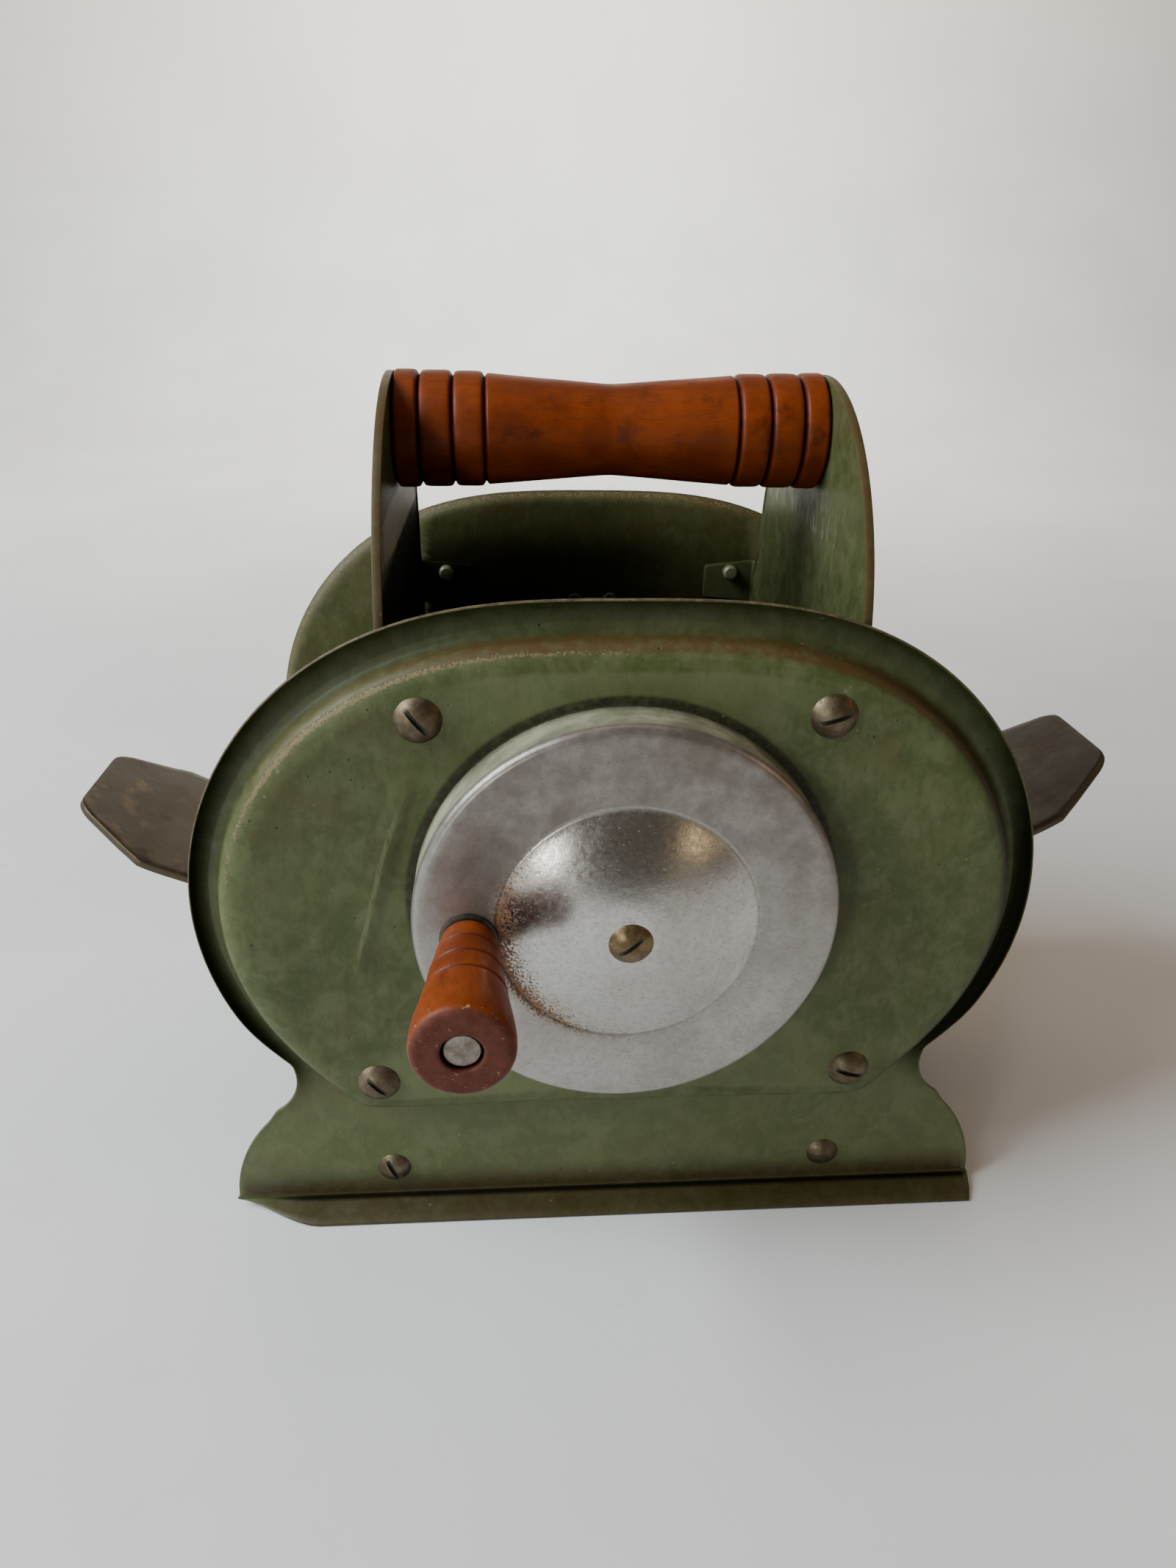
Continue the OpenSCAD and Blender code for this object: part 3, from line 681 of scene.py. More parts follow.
def hopper_painted_shade(flat):
    """Painted shade between the cheeks, lighter on the right and near the top."""
    between = 1 - smooth_step(np.abs(flat[:, 0]), 49.5, 51.0)
    low = 1 - 0.75 * smooth_step(flat[:, 1], 46, 62)
    return between * low * (0.9 - 0.5 * smooth_step(flat[:, 0], 5, 46))


def end_plate(raised):
    """One stamped plate: the front one with a raised panel, or the flat one at the back."""
    count = 560
    level = CHANNEL if raised else 0.0
    loop = plate_loop(count)
    out = loop_normals(loop)
    angle = np.degrees(np.arctan2(loop[:, 0], loop[:, 1] - OVAL_Z))
    lip = LIP_RISE * (1 - smooth_step(np.abs(angle), 103, 117))
    edge_r = panel_r(angle)
    share = flange_share(loop[:, 0], loop[:, 1])
    centre = np.arctan2(loop[:, 0], loop[:, 1])
    hole = HOLE_R * np.stack([np.sin(centre), np.cos(centre)], 1)
    rows = []

    def add_row(points, depth, **masks):
        rows.append((np.column_stack([points[:, 0], depth, points[:, 1]]), masks))

    def ring(inset):
        return polar(angle, edge_r - inset)

    # Shoulder: worn cream edge, strongest at the upper left where it is partly a painted
    # highlight, brown rust along the top and a dark line on the right
    cream = 0.66 * bump_at(angle, -52, 34) + 0.34 * bump_at(angle, -5, 30) \
        + 0.2 * bump_at(angle, -105, 30)
    brown = 0.95 * bump_at(angle, -14, 42) + 0.7 * bump_at(angle, 38, 26)
    dark = smooth_step(angle, 22, 62) * (1 - smooth_step(angle, 112, 122))
    foot = smooth_step(np.abs(angle), 112, 124)
    flank = smooth_step(np.abs(angle), 45, 85)
    face = np.zeros(count)
    centred = 1 - smooth_step(np.abs(loop[:, 0]), 35, 60)
    low = smooth_step(-loop[:, 1], 45, 75)
    high = smooth_step(loop[:, 1], 35, 60)
    outer = catmull(SHOULDER, 5) if raised else np.asarray(FLAT_RIM)
    inner_ring = ring(outer[0][0])
    # Painted light on the panel's lower part and top centre, painted shade on its left
    pale = 0.9 * (low + high * centred)
    dim = 0.14 * smooth_step(-loop[:, 0], 25, 60) * (1 - low) * raised
    for k in np.linspace(1, 0, 46)[:-1]:
        add_row(inner_ring * (1 - k) + hole * k, face, pale=pale * (1 - k), shade=dim * (1 - k))
    for inset, depth in outer:
        if raised:
            steep = smooth_step(depth, 0.3, 1.0) * (1 - smooth_step(depth, 4.6, 6.6))
            wall = smooth_step(-inset, -2.6, -1.5) * (1 - smooth_step(-inset, 0.0, 0.7))
            floor = smooth_step(depth, 3.5, 6.5) * (1 - foot)
            add_row(ring(inset), face + depth, wear=cream * bump_at(inset, 2.0, 1.0),
                    rust=brown * wall, grime=np.maximum(0.95 * dark * steep, 0.35 * floor))
        else:
            add_row(ring(inset), face + depth)
    base = ring(outer[-1][0])
    for s in np.concatenate([np.linspace(0.06, 0.9, 22), [0.95]]):
        points = base + (loop - out * 0.3 - base) * s
        fold = 1 - smooth_step(points[:, 1], FOLD_Z + 1.0, FOLD_Z + 11)
        # Channel: painted shade deepening towards the lip and on the right, painted light on the
        # foot, dirt near the fold
        shade = (0.1 + 0.2 * flank + (0.55 + 0.2 * flank) * s ** 0.8) * raised
        shade = np.minimum(0.95, shade + 0.35 * raised * smooth_step(angle, 60, 95))
        add_row(points, level - lip * s ** 4, shade=shade * (1 - foot), rust=0.5 * fold ** 2,
                pale=0.6 * foot, grime=np.maximum(0.35 * (1 - foot) * raised, 0.95 * fold ** 1.4))
    turn = catmull(EDGE_TURN, 3)
    bend = np.asarray(FLANGE)
    bend = np.stack([np.interp(np.linspace(0, 1, len(turn)), np.linspace(0, 1, len(bend)),
                               bend[:, k]) for k in (0, 1)], 1)
    for k, (inset, depth) in enumerate(turn):
        plain = np.column_stack([loop[:, 0] - out[:, 0] * inset, level - lip + depth,
                                 loop[:, 1] - out[:, 1] * inset])
        y, z = bend[k]
        flange = np.column_stack([plain[:, 0], np.full(count, y + level), np.full(count, z)])
        mixed = plain + (flange - plain) * share[:, None]
        front = 1 - smooth_step(k, len(turn) * 0.4, len(turn) * 0.55)
        crease = bump_at(y, -0.5, 0.7) * (z < -92.3) * front
        raw = (1 - share) * (1 - 0.75 * foot) * bump_at(depth, 0.6, 0.75)
        rows.append((mixed, dict(raw=raw, grime=share * (0.5 + 0.2 * front),
                                 shade=np.minimum(1, share * crease * 1.2),
                                 rust=share * 0.4 * front + 0.5 * raw)))
    back = catmull(INNER_SHOULDER, 3) if raised else np.asarray(FLAT_RIM)[::-1] + (0, SHEET)
    base = ring(back[0][0])
    # The back plate's inner face gets painted shade inside the hopper
    hopper_shaded = 0.0 if raised else 1.0
    for s in (0.97, 0.9, 0.8, 0.7, 0.6, 0.5, 0.4, 0.25, 0.1):
        points = base + (loop - out * 0.3 - base) * s
        rub = smooth_step(s, 0.45, 0.8) * (1 - foot)
        add_row(points, level + SHEET - lip * s ** 4, rust=0.35 + 0.3 * rub, wear=0.42 * rub,
                shade=hopper_shaded * hopper_painted_shade(points) * (1 - 0.9 * smooth_step(s, 0.4, 0.75)))
    for inset, depth in back:
        points = ring(inset)
        add_row(points, face + depth, rust=0.35 + face, shade=hopper_shaded * hopper_painted_shade(points))
    last = ring(back[-1][0])
    for k in np.linspace(0, 1, 24)[1:]:
        points = last * (1 - k) + hole * k
        add_row(points, face + SHEET, rust=0.35 + face, shade=hopper_shaded * hopper_painted_shade(points))

    points = np.vstack([row for row, _ in rows])
    names = sorted({name for _, masks in rows for name in masks})
    masks = {name: np.concatenate([np.broadcast_to(m.get(name, 0.0), count) for _, m in rows])
             for name in names}
    flat = points[:, [0, 2]]
    held = np.minimum(1, np.linalg.norm(flat, axis=1) / 30) * (points[:, 2] > FOLD_Z + 3)
    seed = 1.0 if raised else 5.0
    dents = 0.16 * ripple(points * (1, 0.05, 1), 26, seed) \
        + 0.05 * ripple(points * (1, 0.05, 1), 9, seed + 9)
    if raised:
        crease = crease_line(flat)
        dents -= 0.3 * crease
        masks["grime"] = masks["grime"] + 0.35 * crease_line(flat + (-2.2, 0)) \
            * (points[:, 1] < 1)
    points[:, 1] += dents * held
    if not raised:
        points[:, 1] = DEPTH - points[:, 1]
    faces = grid_faces(len(rows), count)
    bore = [(len(rows) - 1) * count + i for i in range(count)]
    faces += [[i, (i + 1) % count, bore[(i + 1) % count], bore[i]] for i in range(count)]
    return Shape().add(points, faces, **masks)


def crease_line(flat):
    """A long shallow kink in the front panel beside the wheel, 1 on its ridge."""
    middle = CREASE[0] + CREASE_LEAN * (flat[:, 1] - CREASE[1])
    return bump_at(flat[:, 0], middle, 1.2) * smooth_step(flat[:, 1], -24, -12) \
        * (1 - smooth_step(flat[:, 1], 24, 34))


end_plate(True).build("front_plate_shell", GREEN, "housing", "front_plate",
                      "green_enamel", sharp=50)
end_plate(False).build("back_plate_shell", GREEN, "housing", "back_plate",
                       "green_enamel", sharp=50)


# ---------------------------------------------------------------- cheeks

def cheek_loop():
    """Side outline of a cheek sheet, as (y, z), clockwise."""
    front = 9.0
    leg = 2.6
    rise = math.degrees(math.acos((MID_Y - front) / ARCH_R))
    arch = arc((MID_Y, ARCH_Z), ARCH_R, 180 - rise, rise, 160)
    back = DEPTH - front
    window = (MID_Y - 32.5, MID_Y + 32.5)
    low = [[back, 52], [DEPTH - leg, 42], [DEPTH - leg, -56], [window[1], -56],
           [window[1], -31], [window[0], -31], [window[0], -56], [leg, -56], [leg, 42],
           [front, 52]]
    return resample(np.vstack([arch, low]), 520, soften=0.6)


def cheek(side):
    """Arched sheet with its turned tabs; side is 1 for the right one and -1 for the left."""
    shape = Shape()

    def upright(y, z, x):
        return np.stack([side * x, y, z], 1)

    points, faces, inset = flat_sheet(cheek_loop(), CHEEK_X - SHEET, CHEEK_X, upright,
                                      insets=(0.3, 0.6, 0.85, 1.1), edge=0.3,
                                      hem=CHEEK_HEM)
    high = smooth_step(points[:, 2], 60, 96)
    edge = 1 - smooth_step(inset, 0.1, 0.9)
    near = np.exp(-inset / 1.2)
    inner = side * points[:, 0] < CHEEK_X - SHEET / 2
    lining = inner * smooth_step(inset, 0.5, 0.95)
    # Inner faces: painted shade, heaviest on the left cheek, and a light band that is partly a
    # painted highlight
    shape.add(points, faces, raw=0.2 * edge, grime=np.maximum(0.25 * near, 0.3 * lining),
              rust=np.maximum(0.5 * near * high, 0.9 * edge),
              bare=lining * (1.0 if side < 0 else 0.42),
              soot=lining * (2.4 if side < 0 else 0.25))
    middle = CHEEK_X - SHEET / 2
    level = SHEET * 1.5
    for end in (0, 1):
        def from_plate(u, v, w, end=end):
            return np.stack([side * u, DEPTH - v if end else v, w], 1)

        inward = np.vstack([[[middle, 8.5]], [[middle, level + TAB_R]],
                            arc((middle - TAB_R, level + TAB_R), TAB_R, 0, -90, 8)[1:],
                            [[CHEEK_X - 16.5, level]]])

        def upper(s, length):
            cut = 3 - math.sqrt(max(0, 9 - (3 - min(3, length - s)) ** 2))
            return 34 + cut, 47 - cut

        points, faces, _ = strip(inward, upper, SHEET, from_plate)
        # Tabs: painted shade, most on the left
        shape.add(points, faces, grime=0.3, soot=0.9 if side < 0 else 0.3)
        outward = np.vstack([[[middle, 8.5]], [[middle, level + TAB_R]],
                             arc((middle + TAB_R, level + TAB_R), TAB_R, 180, 270, 8)[1:],
                             [[LOWER[0] + 4.8, level]]])

        def lower(s, length):
            cut = 4.8 - math.sqrt(max(0.01, 4.8 ** 2 - (4.8 - min(4.8, length - s)) ** 2))
            return LOWER[1] - 4.8 + cut, LOWER[1] + 4.8 - cut

        points, faces, _ = strip(outward, lower, SHEET, from_plate)
        shape.add(points, faces, grime=0.3)
    return shape


cheek(-1).build("left_cheek_sheet", GREEN, "housing", "left_cheek", "green_enamel")
cheek(1).build("right_cheek_sheet", GREEN, "housing", "right_cheek", "green_enamel")


# ---------------------------------------------------------------- screws

def screw(head_r, head_h, length, slot_angle, slot_w=1.15, slot_depth=1.05, fill=0.0, seed=0):
    """Domed slotted screw along +y from its seat at y = 0, drawn at the origin."""
    ball = (head_r ** 2 + head_h ** 2) / (2 * head_h)
    half = slot_w / 2
    ease = np.linspace(-1, 1, 29)
    across = np.concatenate([head_r * np.sin(ease * math.pi / 2),
                             [s * (half + d) for s in (-1, 1) for d in (-0.06, 0.02, 0.18)]])
    across = np.unique(np.round(across, 4))
    across[0], across[-1] = -head_r * 0.9995, head_r * 0.9995
    along = np.sin(np.linspace(-1, 1, 41) * math.pi / 2)
    v = np.repeat(across, len(along))
    u = np.tile(along, len(across)) * np.sqrt(head_r ** 2 - v ** 2)
    height = np.sqrt(np.maximum(ball ** 2 - u ** 2 - v ** 2, 0)) - (ball - head_h)
    height = np.maximum(height, 0)
    inside = (np.abs(v) < half) & (height > head_h - slot_depth)
    floor = head_h - slot_depth * (1 - fill)
    wear = 0.05 * ripple(np.column_stack([u, v, u * 0]), 1.4, seed)
    height = np.where(inside, np.minimum(height, floor), height) + wear * (height > 0.3)
    turn = math.radians(slot_angle)
    x = u * math.cos(turn) - v * math.sin(turn)
    z = u * math.sin(turn) + v * math.cos(turn)
    top = np.stack([x, -height, z], 1)
    rows, columns = len(across), len(along)
    shape = Shape()
    faces = grid_faces(rows, columns, closed=False)
    loop = list(range(columns)) + [r * columns + columns - 1 for r in range(1, rows)] \
        + [(rows - 1) * columns + c for c in range(columns - 2, -1, -1)] \
        + [r * columns for r in range(rows - 2, 0, -1)]
    rim = np.stack([x[loop], np.full(len(loop), 0.15), z[loop]], 1)
    base = len(top)
    n = len(loop)
    faces += [[loop[i], loop[(i + 1) % n], base + (i + 1) % n, base + i] for i in range(n)]
    faces.append([base + i for i in range(n)][::-1])
    shape.add(np.vstack([top, rim]), faces,
              slot=np.concatenate([np.where(inside, 1 - 0.6 * fill, 0), np.zeros(n)]))
    profile = [[0.01, 0.1], [SHANK_R, 0.1], [SHANK_R, length - 0.7], [SHANK_R - 0.6, length],
               [0.01, length + 0.1]]
    points, faces = revolve(np.array(profile), 28, lambda a, b, d: np.stack([a, d, b], 1))
    shape.add(points, faces, paint=smooth_step(points[:, 1], 1.5, 2.2))
    return shape


def screw_set(places):
    """Screws in the end plates: (x, z, seat, mirrored, head, slot angle, fill, length)."""
    whole = Shape()
    for k, (x, z, seat, mirrored, head, angle, fill, length) in enumerate(places):
        one = screw(head[0], head[1], length, angle, fill=fill, seed=k * 3.1)
        points = np.vstack(one.points)
        points[:, 1] += seat
        if mirrored:
            points[:, 1] = DEPTH - points[:, 1]
        points += (x, 0, z)
        whole.take(one, points)
    return whole


PANEL_HEAD = (5.15, 2.6)
FOOT_HEAD = (4.25, 2.0)


def four(place, seats, head, angles, fills, length):
    """Left and right screws of the front plate and of the back plate."""
    spots = [(-1, 0), (1, 0), (-1, 1), (1, 1)]
    return screw_set([(s * place[0], place[1], seats[end], end, head, angle, fill, length)
                      for (s, end), angle, fill in zip(spots, angles, fills)])


four(UPPER, (0, 0), PANEL_HEAD, (-50, 20, 35, -70), (0, 0, 0, 0), 5.2).build(
    "cheek_screw_heads", STEEL, "housing", "cheek_screws", "oxidised_steel")
four(LOWER, (0, 0), PANEL_HEAD, (-45, -15, 10, 60), (0.2, 0, 0, 0.2), 13).build(
    "rod_screw_heads", STEEL, "housing", "rod_screws", "oxidised_steel")
four(FOOT, (CHANNEL, 0), FOOT_HEAD, (-63, 10, 80, -20), (0, 0.75, 0, 0), 12).build(
    "foot_screw_heads", STEEL, "housing", "foot_screws", "oxidised_steel")


def centre_screw():
    """Slotted screw on the crank axis."""
    shape = screw(4.8, 2.0, 14, 40, slot_w=1.0, slot_depth=0.85, seed=7)
    points = np.vstack(shape.points)
    points[:, 1] -= CROWN
    return Shape().take(shape, points, paint=0.0)


centre_screw().build("wheel_screw_head", BRASS, "crank", "wheel_screw", "bearing_brass")


def grip_screw_pair():
    """Screws through the cheeks into the grip's ends."""
    whole = Shape()
    for side in (-1, 1):
        one = screw(6.2, 2.2, 21, 35, seed=side + 11)
        points = np.vstack(one.points)
        points = np.stack([side * (CHEEK_X - points[:, 1]), points[:, 0] + GRIP_Y,
                           points[:, 2] + GRIP_Z], 1)
        whole.take(one, points, paint=0.8)
    return whole


grip_screw_pair().build("grip_screw_heads", STEEL, "housing", "grip_screws",
                        "oxidised_steel")


# ---------------------------------------------------------------- crank

def wheel():
    """Pressed wheel with its dome, crease, flat ring and rolled rim."""
    drop = CROWN - WHEEL_FACE
    dome = catmull(DOME, 8)
    front = [[r, CROWN - drop * s] for r, s in dome]
    front += [[28.45, WHEEL_FACE - 0.1], [28.8, WHEEL_FACE - 0.12], [29.3, WHEEL_FACE]]
    front += [[r, WHEEL_FACE] for r in np.linspace(31, 43.8, 18)]
    front += [[WHEEL_R - 2.2 + 2.2 * math.sin(t), WHEEL_FACE - 2.2 + 2.2 * math.cos(t)]
              for t in np.radians(np.linspace(10, 90, 10))]
    front += [[WHEEL_R - 0.15, 6.5], [WHEEL_R - 0.2, 3.5], [WHEEL_R - 0.1, 1.4],
              [WHEEL_R, 0.8], [WHEEL_R - 0.15, 0.45]]
    back = [[WHEEL_R - SHEET, 0.5], [WHEEL_R - SHEET, WHEEL_FACE - 2.6],
            [WHEEL_R - 2.6, WHEEL_FACE - SHEET]]
    back += [[r, CROWN - SHEET - drop * s] for r, s in dome[::-4]]
    profile = np.array(front + back)
    segments = 360
    points, faces = revolve(profile, segments, facing_front())
    x, z = points[:, 0], points[:, 2]
    r = np.hypot(x, z)
    clock = np.degrees(np.arctan2(x, z))
    outside = -points[:, 1] > WHEEL_FACE - 4
    points[:, 1] += (0.09 * ripple(points * (1, 0.05, 1), 19, 3.0)
                     + 0.03 * ripple(points, 6, 8.0)) * smooth_step(r, 8, 16) * outside
    lower_left = bump_at((clock + 118 + 180) % 360 - 180, 0, 52)
    left = bump_at((clock + 78 + 180) % 360 - 180, 0, 30)
    crease = bump_at(r, 28.4, 1.5)
    wide = bump_at(r, 26.5, 4.5)
    rust = 0.75 * wide * lower_left + 0.3 * wide * left + 0.5 * crease * lower_left \
        + 0.2 * crease + 0.3 * bump_at(np.hypot(x + 2, z + 15), 0, 5)
    rust *= outside
    # Back edge of the rim against the panel: rust and painted gap shade, strongest at the top
    upper = 0.3 + 0.7 * bump_at(clock, -5, 70)
    grime = (1 - smooth_step(-points[:, 1], 0.9, 2.0)) * (0.5 + 0.5 * upper) * (r > 40)
    grime = grime + bump_at(r, 28.7, 0.4) * (0.35 + 0.5 * lower_left) * outside
    dull = smooth_step(r, 28.6, 29.4) * (0.45 + 0.55 * smooth_step(z, -24, 30))
    polish = 1 - smooth_step(r, 27.5, 29)
    rim = smooth_step(r, WHEEL_R - 0.5, WHEEL_R - 0.25) \
        * (1 - smooth_step(-points[:, 1], WHEEL_FACE - 2.6, WHEEL_FACE - 1.4))
    return Shape().add(points, faces, rust=rust, grime=grime, dull=dull, polish=polish, rim=rim)


wheel().build("crank_wheel_shell", NICKEL, "crank", "crank_wheel", "plated_steel", sharp=55)


def knob():
    """Turned knob with three grooves and a countersunk end."""
    base = WHEEL_FACE + 1.1
    floor = KNOB_END - 2.75
    ribs = [(5.1, base), (5.5, base + 0.25), (5.85, base + 0.9)]
    grooves = (base + 7.2, base + 14.2, base + 21.0)
    widths = (6.75, 7.75, 8.55)
    for at, width in zip(grooves, widths):
        ribs += [(width - 0.35, at - 2.8), (width, at - 0.75), (width - 0.12, at - 0.38),
                 (width - 0.45, at), (width - 0.02, at + 0.38), (width + 0.12, at + 0.75)]
    end = [(9.3, base + 26.0), (9.95, base + 30.5), (10.2, KNOB_END - 4.2)]
    end += [(8.5 + 1.7 * math.cos(t), KNOB_END - 1.9 + 1.9 * math.sin(t))
            for t in np.radians(np.linspace(0, 80, 8))]
    end += [(8.1, KNOB_END), (6.5, KNOB_END - 0.03), (4.5, KNOB_END), (4.2, KNOB_END - 0.12),
            (4.1, KNOB_END - 0.4), (4.1, floor), (3.1, floor), (3.1, base)]
    profile = np.array(ribs + end)
    dense = []
    for first, second in zip(profile, np.roll(profile, -1, axis=0)):
        steps = max(1, int(np.linalg.norm(second - first) / 0.5))
        dense += [first + (second - first) * k / steps for k in range(steps)]
    points, faces = revolve(np.array(dense), 144, facing_front(*KNOB))
    d = -points[:, 1]
    r = np.hypot(points[:, 0] - KNOB[0], points[:, 2] - KNOB[1])
    away = (points[:, [0, 2]] - KNOB) / np.maximum(r, 1)[:, None]
    outer = r > 4.6
    points[:, [0, 2]] += away * (0.07 * ripple(points, 9, 2.0) * outer)[:, None]
    groove = sum(bump_at(d, at, 0.4) for at in grooves) * outer
    face = smooth_step(d, KNOB_END - 1.0, KNOB_END - 0.35)
    wear = bump_at(d, KNOB_END - 2.2, 2.4) + 0.35 * smooth_step(d, base + 18, KNOB_END)
    dark = np.where(r < 4.5, 1.0, 0.0)
    return Shape().add(points, faces, groove=np.maximum(groove, dark), end=face, wear=wear)


knob().build("crank_knob_wood", KNOB_WOOD, "knob", "crank_knob", "varnished_wood", sharp=60)


def knob_pin():
    """Pin with a flat head in the knob's end, riveted behind the wheel."""
    head = KNOB_END - 0.8
    profile = [[0.01, head], [2.6, head - 0.02], [3.4, head - 0.12], [3.68, head - 0.4],
               [3.7, head - 1.7], [3.0, head - 1.7], [3.0, WHEEL_FACE - 1.7],
               [4.4, WHEEL_FACE - 1.2], [4.4, WHEEL_FACE - 2.4], [3.9, WHEEL_FACE - 2.6],
               [0.01, WHEEL_FACE - 2.6]]
    points, faces = revolve(np.array(profile), 64, facing_front(*KNOB))
    return Shape().add(points, faces)


knob_pin().build("knob_pin_rivet", DRUM, "crank", "knob_pin", "bright_steel", merge=0.05)


def washer():
    """Flat washer between knob and wheel."""
    low, high = WHEEL_FACE + 0.02, WHEEL_FACE + 0.95
    profile = [[3.05, low], [3.05, high - 0.1], [3.2, high], [5.9, high], [6.25, high - 0.15],
               [6.3, high - 0.4], [6.3, low]]
    points, faces = revolve(np.array(profile), 72, facing_front(*KNOB))
    return Shape().add(points, faces)


washer().build("knob_washer_ring", DARK, "crank", "knob_washer", "dark_steel")


# ---------------------------------------------------------------- grip

def grip():
    """Waisted carrying grip with three beads at each end."""
    half = CHEEK_X - SHEET - 0.1
    edges = (29.8, 37.3, 45.1)
    near_grooves = [s * (e + o) for s in (-1, 1) for e in edges
                    for o in (-0.9, -0.6, -0.3, 0, 0.3, 0.6, 0.9)]
    at = np.unique(np.concatenate([np.linspace(-half, half, 420), near_grooves]))
    d = np.abs(at)
    radius = GRIP_WAIST + (GRIP_R - 0.7 - GRIP_WAIST) * np.minimum(1, d / 28.9)
    radius = np.sqrt((radius - GRIP_WAIST) ** 2 + 0.02) + GRIP_WAIST - 0.1
    bounds = edges + (half + 0.6,)
    for k in range(3):
        inside = (d >= bounds[k]) & (d <= bounds[k + 1])
        t = (d - (bounds[k] + bounds[k + 1]) / 2) / ((bounds[k + 1] - bounds[k]) / 2)
        radius = np.where(inside, GRIP_R - 0.35 + 0.16 * k - 0.5 * np.abs(t) ** 5, radius)
    groove = sum(bump_at(d, e, 0.42) for e in edges)
    radius = radius - 0.75 * groove
    radius -= 1.1 * bump_at(d, half, 0.5)
    segments = 144
    t = np.linspace(0, 2 * math.pi, segments, endpoint=False)
    grid = np.stack([np.repeat(at, segments),
                     GRIP_Y + (radius[:, None] * np.cos(t)).ravel(),
                     GRIP_Z + (radius[:, None] * np.sin(t)).ravel()], 1)
    faces = grid_faces(len(at), segments)
    faces.append(list(range(segments)))
    faces.append([(len(at) - 1) * segments + i for i in range(segments)][::-1])
    lumps = 1 + 0.006 * ripple(grid, 15, 4.0)
    grid[:, 1] = GRIP_Y + (grid[:, 1] - GRIP_Y) * lumps
    grid[:, 2] = GRIP_Z + (grid[:, 2] - GRIP_Z) * lumps
    mask = np.repeat(np.minimum(1, sum(bump_at(d, e, 0.55) for e in edges)), segments)
    return Shape().add(grid, faces, groove=mask)


grip().build("grip_wood_bar", GRIP_WOOD, "housing", "grip", "varnished_wood", sharp=60)


# ---------------------------------------------------------------- levers

def lever(side, slope, reach):
    """Tongue with a lip inside and a tapered thumb tab outside, on two hinge ears."""
    tilt = math.radians(slope)

    def place(u, v, w):
        x = LOWER[0] + u * math.cos(tilt) - v * math.sin(tilt)
        z = LOWER[1] + u * math.sin(tilt) + v * math.cos(tilt)
        return np.stack([side * x, w, z], 1)

    bend = math.radians(TAB_BEND)
    tip = (reach + TAB_LEN * math.cos(bend), LEVER_LIFT + TAB_LEN * math.sin(bend))
    knee = catmull([(reach - 9, LEVER_LIFT), (reach - 4, LEVER_LIFT + 0.02),
                    (reach, LEVER_LIFT + 0.32), (reach + 4 * math.cos(bend),
                                                 LEVER_LIFT + 0.15 + 4 * math.sin(bend))], 5)
    path = np.vstack([[[LIP_U, LIP_V]], [[LIP_U, LEVER_LIFT + 3]],
                      arc((-20.5, LEVER_LIFT + 2.5), 2.5, 180, 270, 7)[1:],
                      [[u, LEVER_LIFT] for u in np.linspace(-14, reach - 12, 20)], knee,
                      [[tip[0] - (reach + TAB_LEN - u) * math.cos(bend),
                        tip[1] - (reach + TAB_LEN - u) * math.sin(bend)]
                       for u in np.linspace(reach + 6, reach + TAB_LEN, 12)]])

    def half_width(s, length):
        t = min(1.0, max(0.0, (s - (length - TAB_LEN + 1.0)) / (TAB_LEN - 3.0)))
        half = LEVER_W / 2 - t * (LEVER_W - TAB_W) / 2
        corner = 4.0
        d = min(corner, length - s)
        half -= 1.35 * (corner - math.sqrt(max(0.0, corner ** 2 - (corner - d) ** 2)))
        return MID_Y - half, MID_Y + half

    points, faces, run = strip(path, half_width, LEVER_SHEET, place, across=23, edge=0.45)
    shape = Shape()
    w = np.abs(points[:, 1] - MID_Y)
    limits = np.array([half_width(s, run.max())[1] - MID_Y for s in np.unique(run)])
    limit = np.interp(run, np.unique(run), limits)
    # The right tongue is darkened with painted shade; the left one has only a little dirt
    shape.add(points, faces, raw=0.8 * (w > limit - 0.3), grime=0.75 if side > 0 else 0.1)
    eye = np.vstack([arc((0, 0), EYE_R, 180, 360, 30), [[10, LEVER_LIFT - 0.4]],
                     [[-10, LEVER_LIFT - 0.4]]])
    loop = resample(eye[::-1], 120, soften=0.4)
    for low in (MID_Y - LEVER_W / 2, MID_Y + LEVER_W / 2 - LEVER_SHEET):
        points, faces, _ = flat_sheet(loop, low, low + LEVER_SHEET, place,
                                      insets=(0.4, 1.0), edge=0.4)
        shape.add(points, faces)
    return shape


lever(-1, 22.3, 71.6).build("left_lever_tongue", SPRING, "left_lever", "left_lever",
                            "spring_steel")
lever(1, 28.0, 77.0).build("right_lever_tongue", SPRING, "right_lever", "right_lever",
                           "spring_steel")


# ---------------------------------------------------------------- CAD nodes that stay

FINISHES = {
    "hinge_rods": DARK, "rod_spacers": STEEL, "friction_washers": DARK, "foot_ties": DARK,
    "front_bushing": BRASS, "rear_bushing": BRASS, "axle": DRUM, "wheel_hub": STEEL,
    "cutter_discs": DRUM, "disc_spacers": STEEL, "drum_end_discs": DRUM,
    "thrust_washers": BRASS, "axle_clip": DARK,
}

for name, material in FINISHES.items():
    node = frame["nodes"][name]
    node.data.materials.clear()
    node.data.materials.append(material)
    node.data.polygons.foreach_set("use_smooth", [True] * len(node.data.polygons))
    node.data.set_sharp_from_angle(angle=math.radians(30))


# ---------------------------------------------------------------- floor, lights and camera

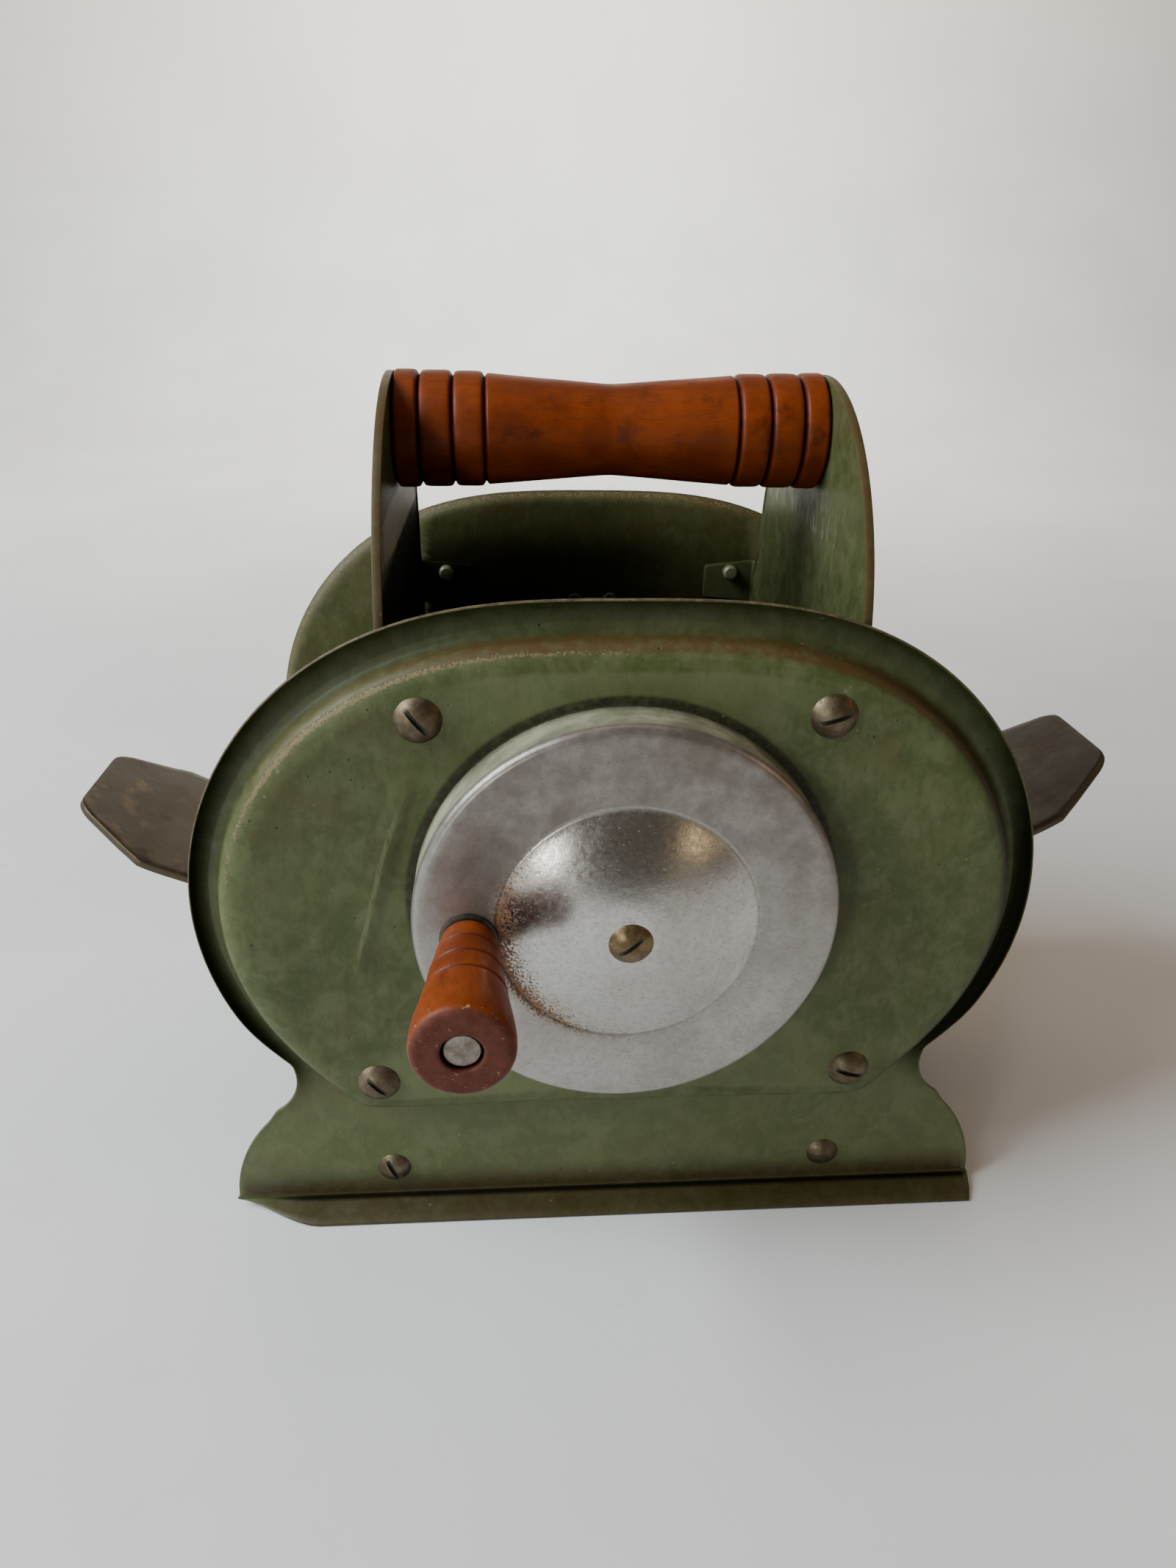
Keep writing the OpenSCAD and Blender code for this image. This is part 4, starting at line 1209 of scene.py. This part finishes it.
def backdrop():
    """Floor that sweeps up into a wall behind the object."""
    radius = 0.7
    back = 1.9
    path = [(y, 0.0) for y in np.linspace(-3.2, back - radius, 12)]
    path += [(back - radius + radius * math.sin(t), radius - radius * math.cos(t))
             for t in np.radians(np.linspace(6, 90, 16))]
    path += [(back, z) for z in (1.2, 2.0, 3.0)]
    points = [(x, y, z - 0.0001) for y, z in path for x in np.linspace(-3.5, 3.5, 9)]
    mesh = bpy.data.meshes.new("backdrop")
    mesh.from_pydata(points, [], grid_faces(len(path), 9, closed=False))
    mesh.polygons.foreach_set("use_smooth", [True] * len(mesh.polygons))
    mesh.materials.append(plain_floor())
    sheet = bpy.data.objects.new("backdrop", mesh)
    bpy.context.scene.collection.objects.link(sheet)


# Name, place, target, size, power and colour
LIGHTS = (
    ("sky", (-1.15, -0.25, 1.0), (0, 0, 0.08), (0.9, 0.9), 42, (0.9, 0.955, 1.0)),
    ("window", (-0.7, -1.15, 0.3), (0, 0, 0.1), (0.2, 0.26), 4.4, (1.0, 0.98, 0.94)),
    ("lamp", (0.62, -0.95, 0.27), (0, -0.04, 0.1), (0.14, 0.14), 0.25, (1.0, 0.72, 0.38)),
    ("glow", (1.2, -0.3, 0.7), (0.25, 0.05, 0.0), (0.5, 0.5), 1.4, (1.0, 0.52, 0.28)),
    ("ceiling", (0.0, 0.3, 2.2), (0, 0.3, 0), (1.6, 1.2), 5.5, (1.0, 0.74, 0.54)),
    ("wash", (0.05, 0.95, 1.05), (0.0, 1.9, 0.42), (0.8, 0.4), 27, (1.0, 0.98, 0.94)),
)


def area_light(name, place, target, size, power, colour):
    """Rectangular light aimed at a point."""
    data = bpy.data.lights.new(name, "AREA")
    data.shape = "RECTANGLE"
    data.size, data.size_y = size
    data.energy = power
    data.color = colour
    light = bpy.data.objects.new(name, data)
    light.location = place
    light.rotation_euler = (Vector(target) - Vector(place)).to_track_quat("-Z", "Y").to_euler()
    bpy.context.scene.collection.objects.link(light)


def camera():
    """The photograph's viewpoint: above the crank, looking 25 degrees down."""
    yaw, pitch, roll = -0.0735405, 0.4352501, -0.0174230
    turn = Matrix.Rotation(yaw, 3, "Z") @ Matrix.Rotation(-pitch, 3, "X") \
        @ Matrix.Rotation(roll, 3, "Y")
    right, forward, up = turn.col
    axes = Matrix((right, up, -forward)).transposed()
    data = bpy.data.cameras.new("camera")
    data.sensor_width = 36.0
    data.lens = 25.558
    data.clip_start = 0.01
    data.clip_end = 20.0
    seen = bpy.data.objects.new("camera", data)
    seen.matrix_world = Matrix.Translation((-0.024256, -0.257646, 0.224824)) @ axes.to_4x4()
    bpy.context.scene.collection.objects.link(seen)
    bpy.context.scene.camera = seen


def world():
    """Dim warm room, which the polished dome reflects as a dark band."""
    made = bpy.data.worlds.new("room")
    made.use_nodes = True
    background = made.node_tree.nodes["Background"]
    background.inputs["Color"].default_value = (1.0, 0.86, 0.7, 1.0)
    background.inputs["Strength"].default_value = 0.12
    bpy.context.scene.world = made


backdrop()
world()
camera()
for light in LIGHTS:
    area_light(*light)
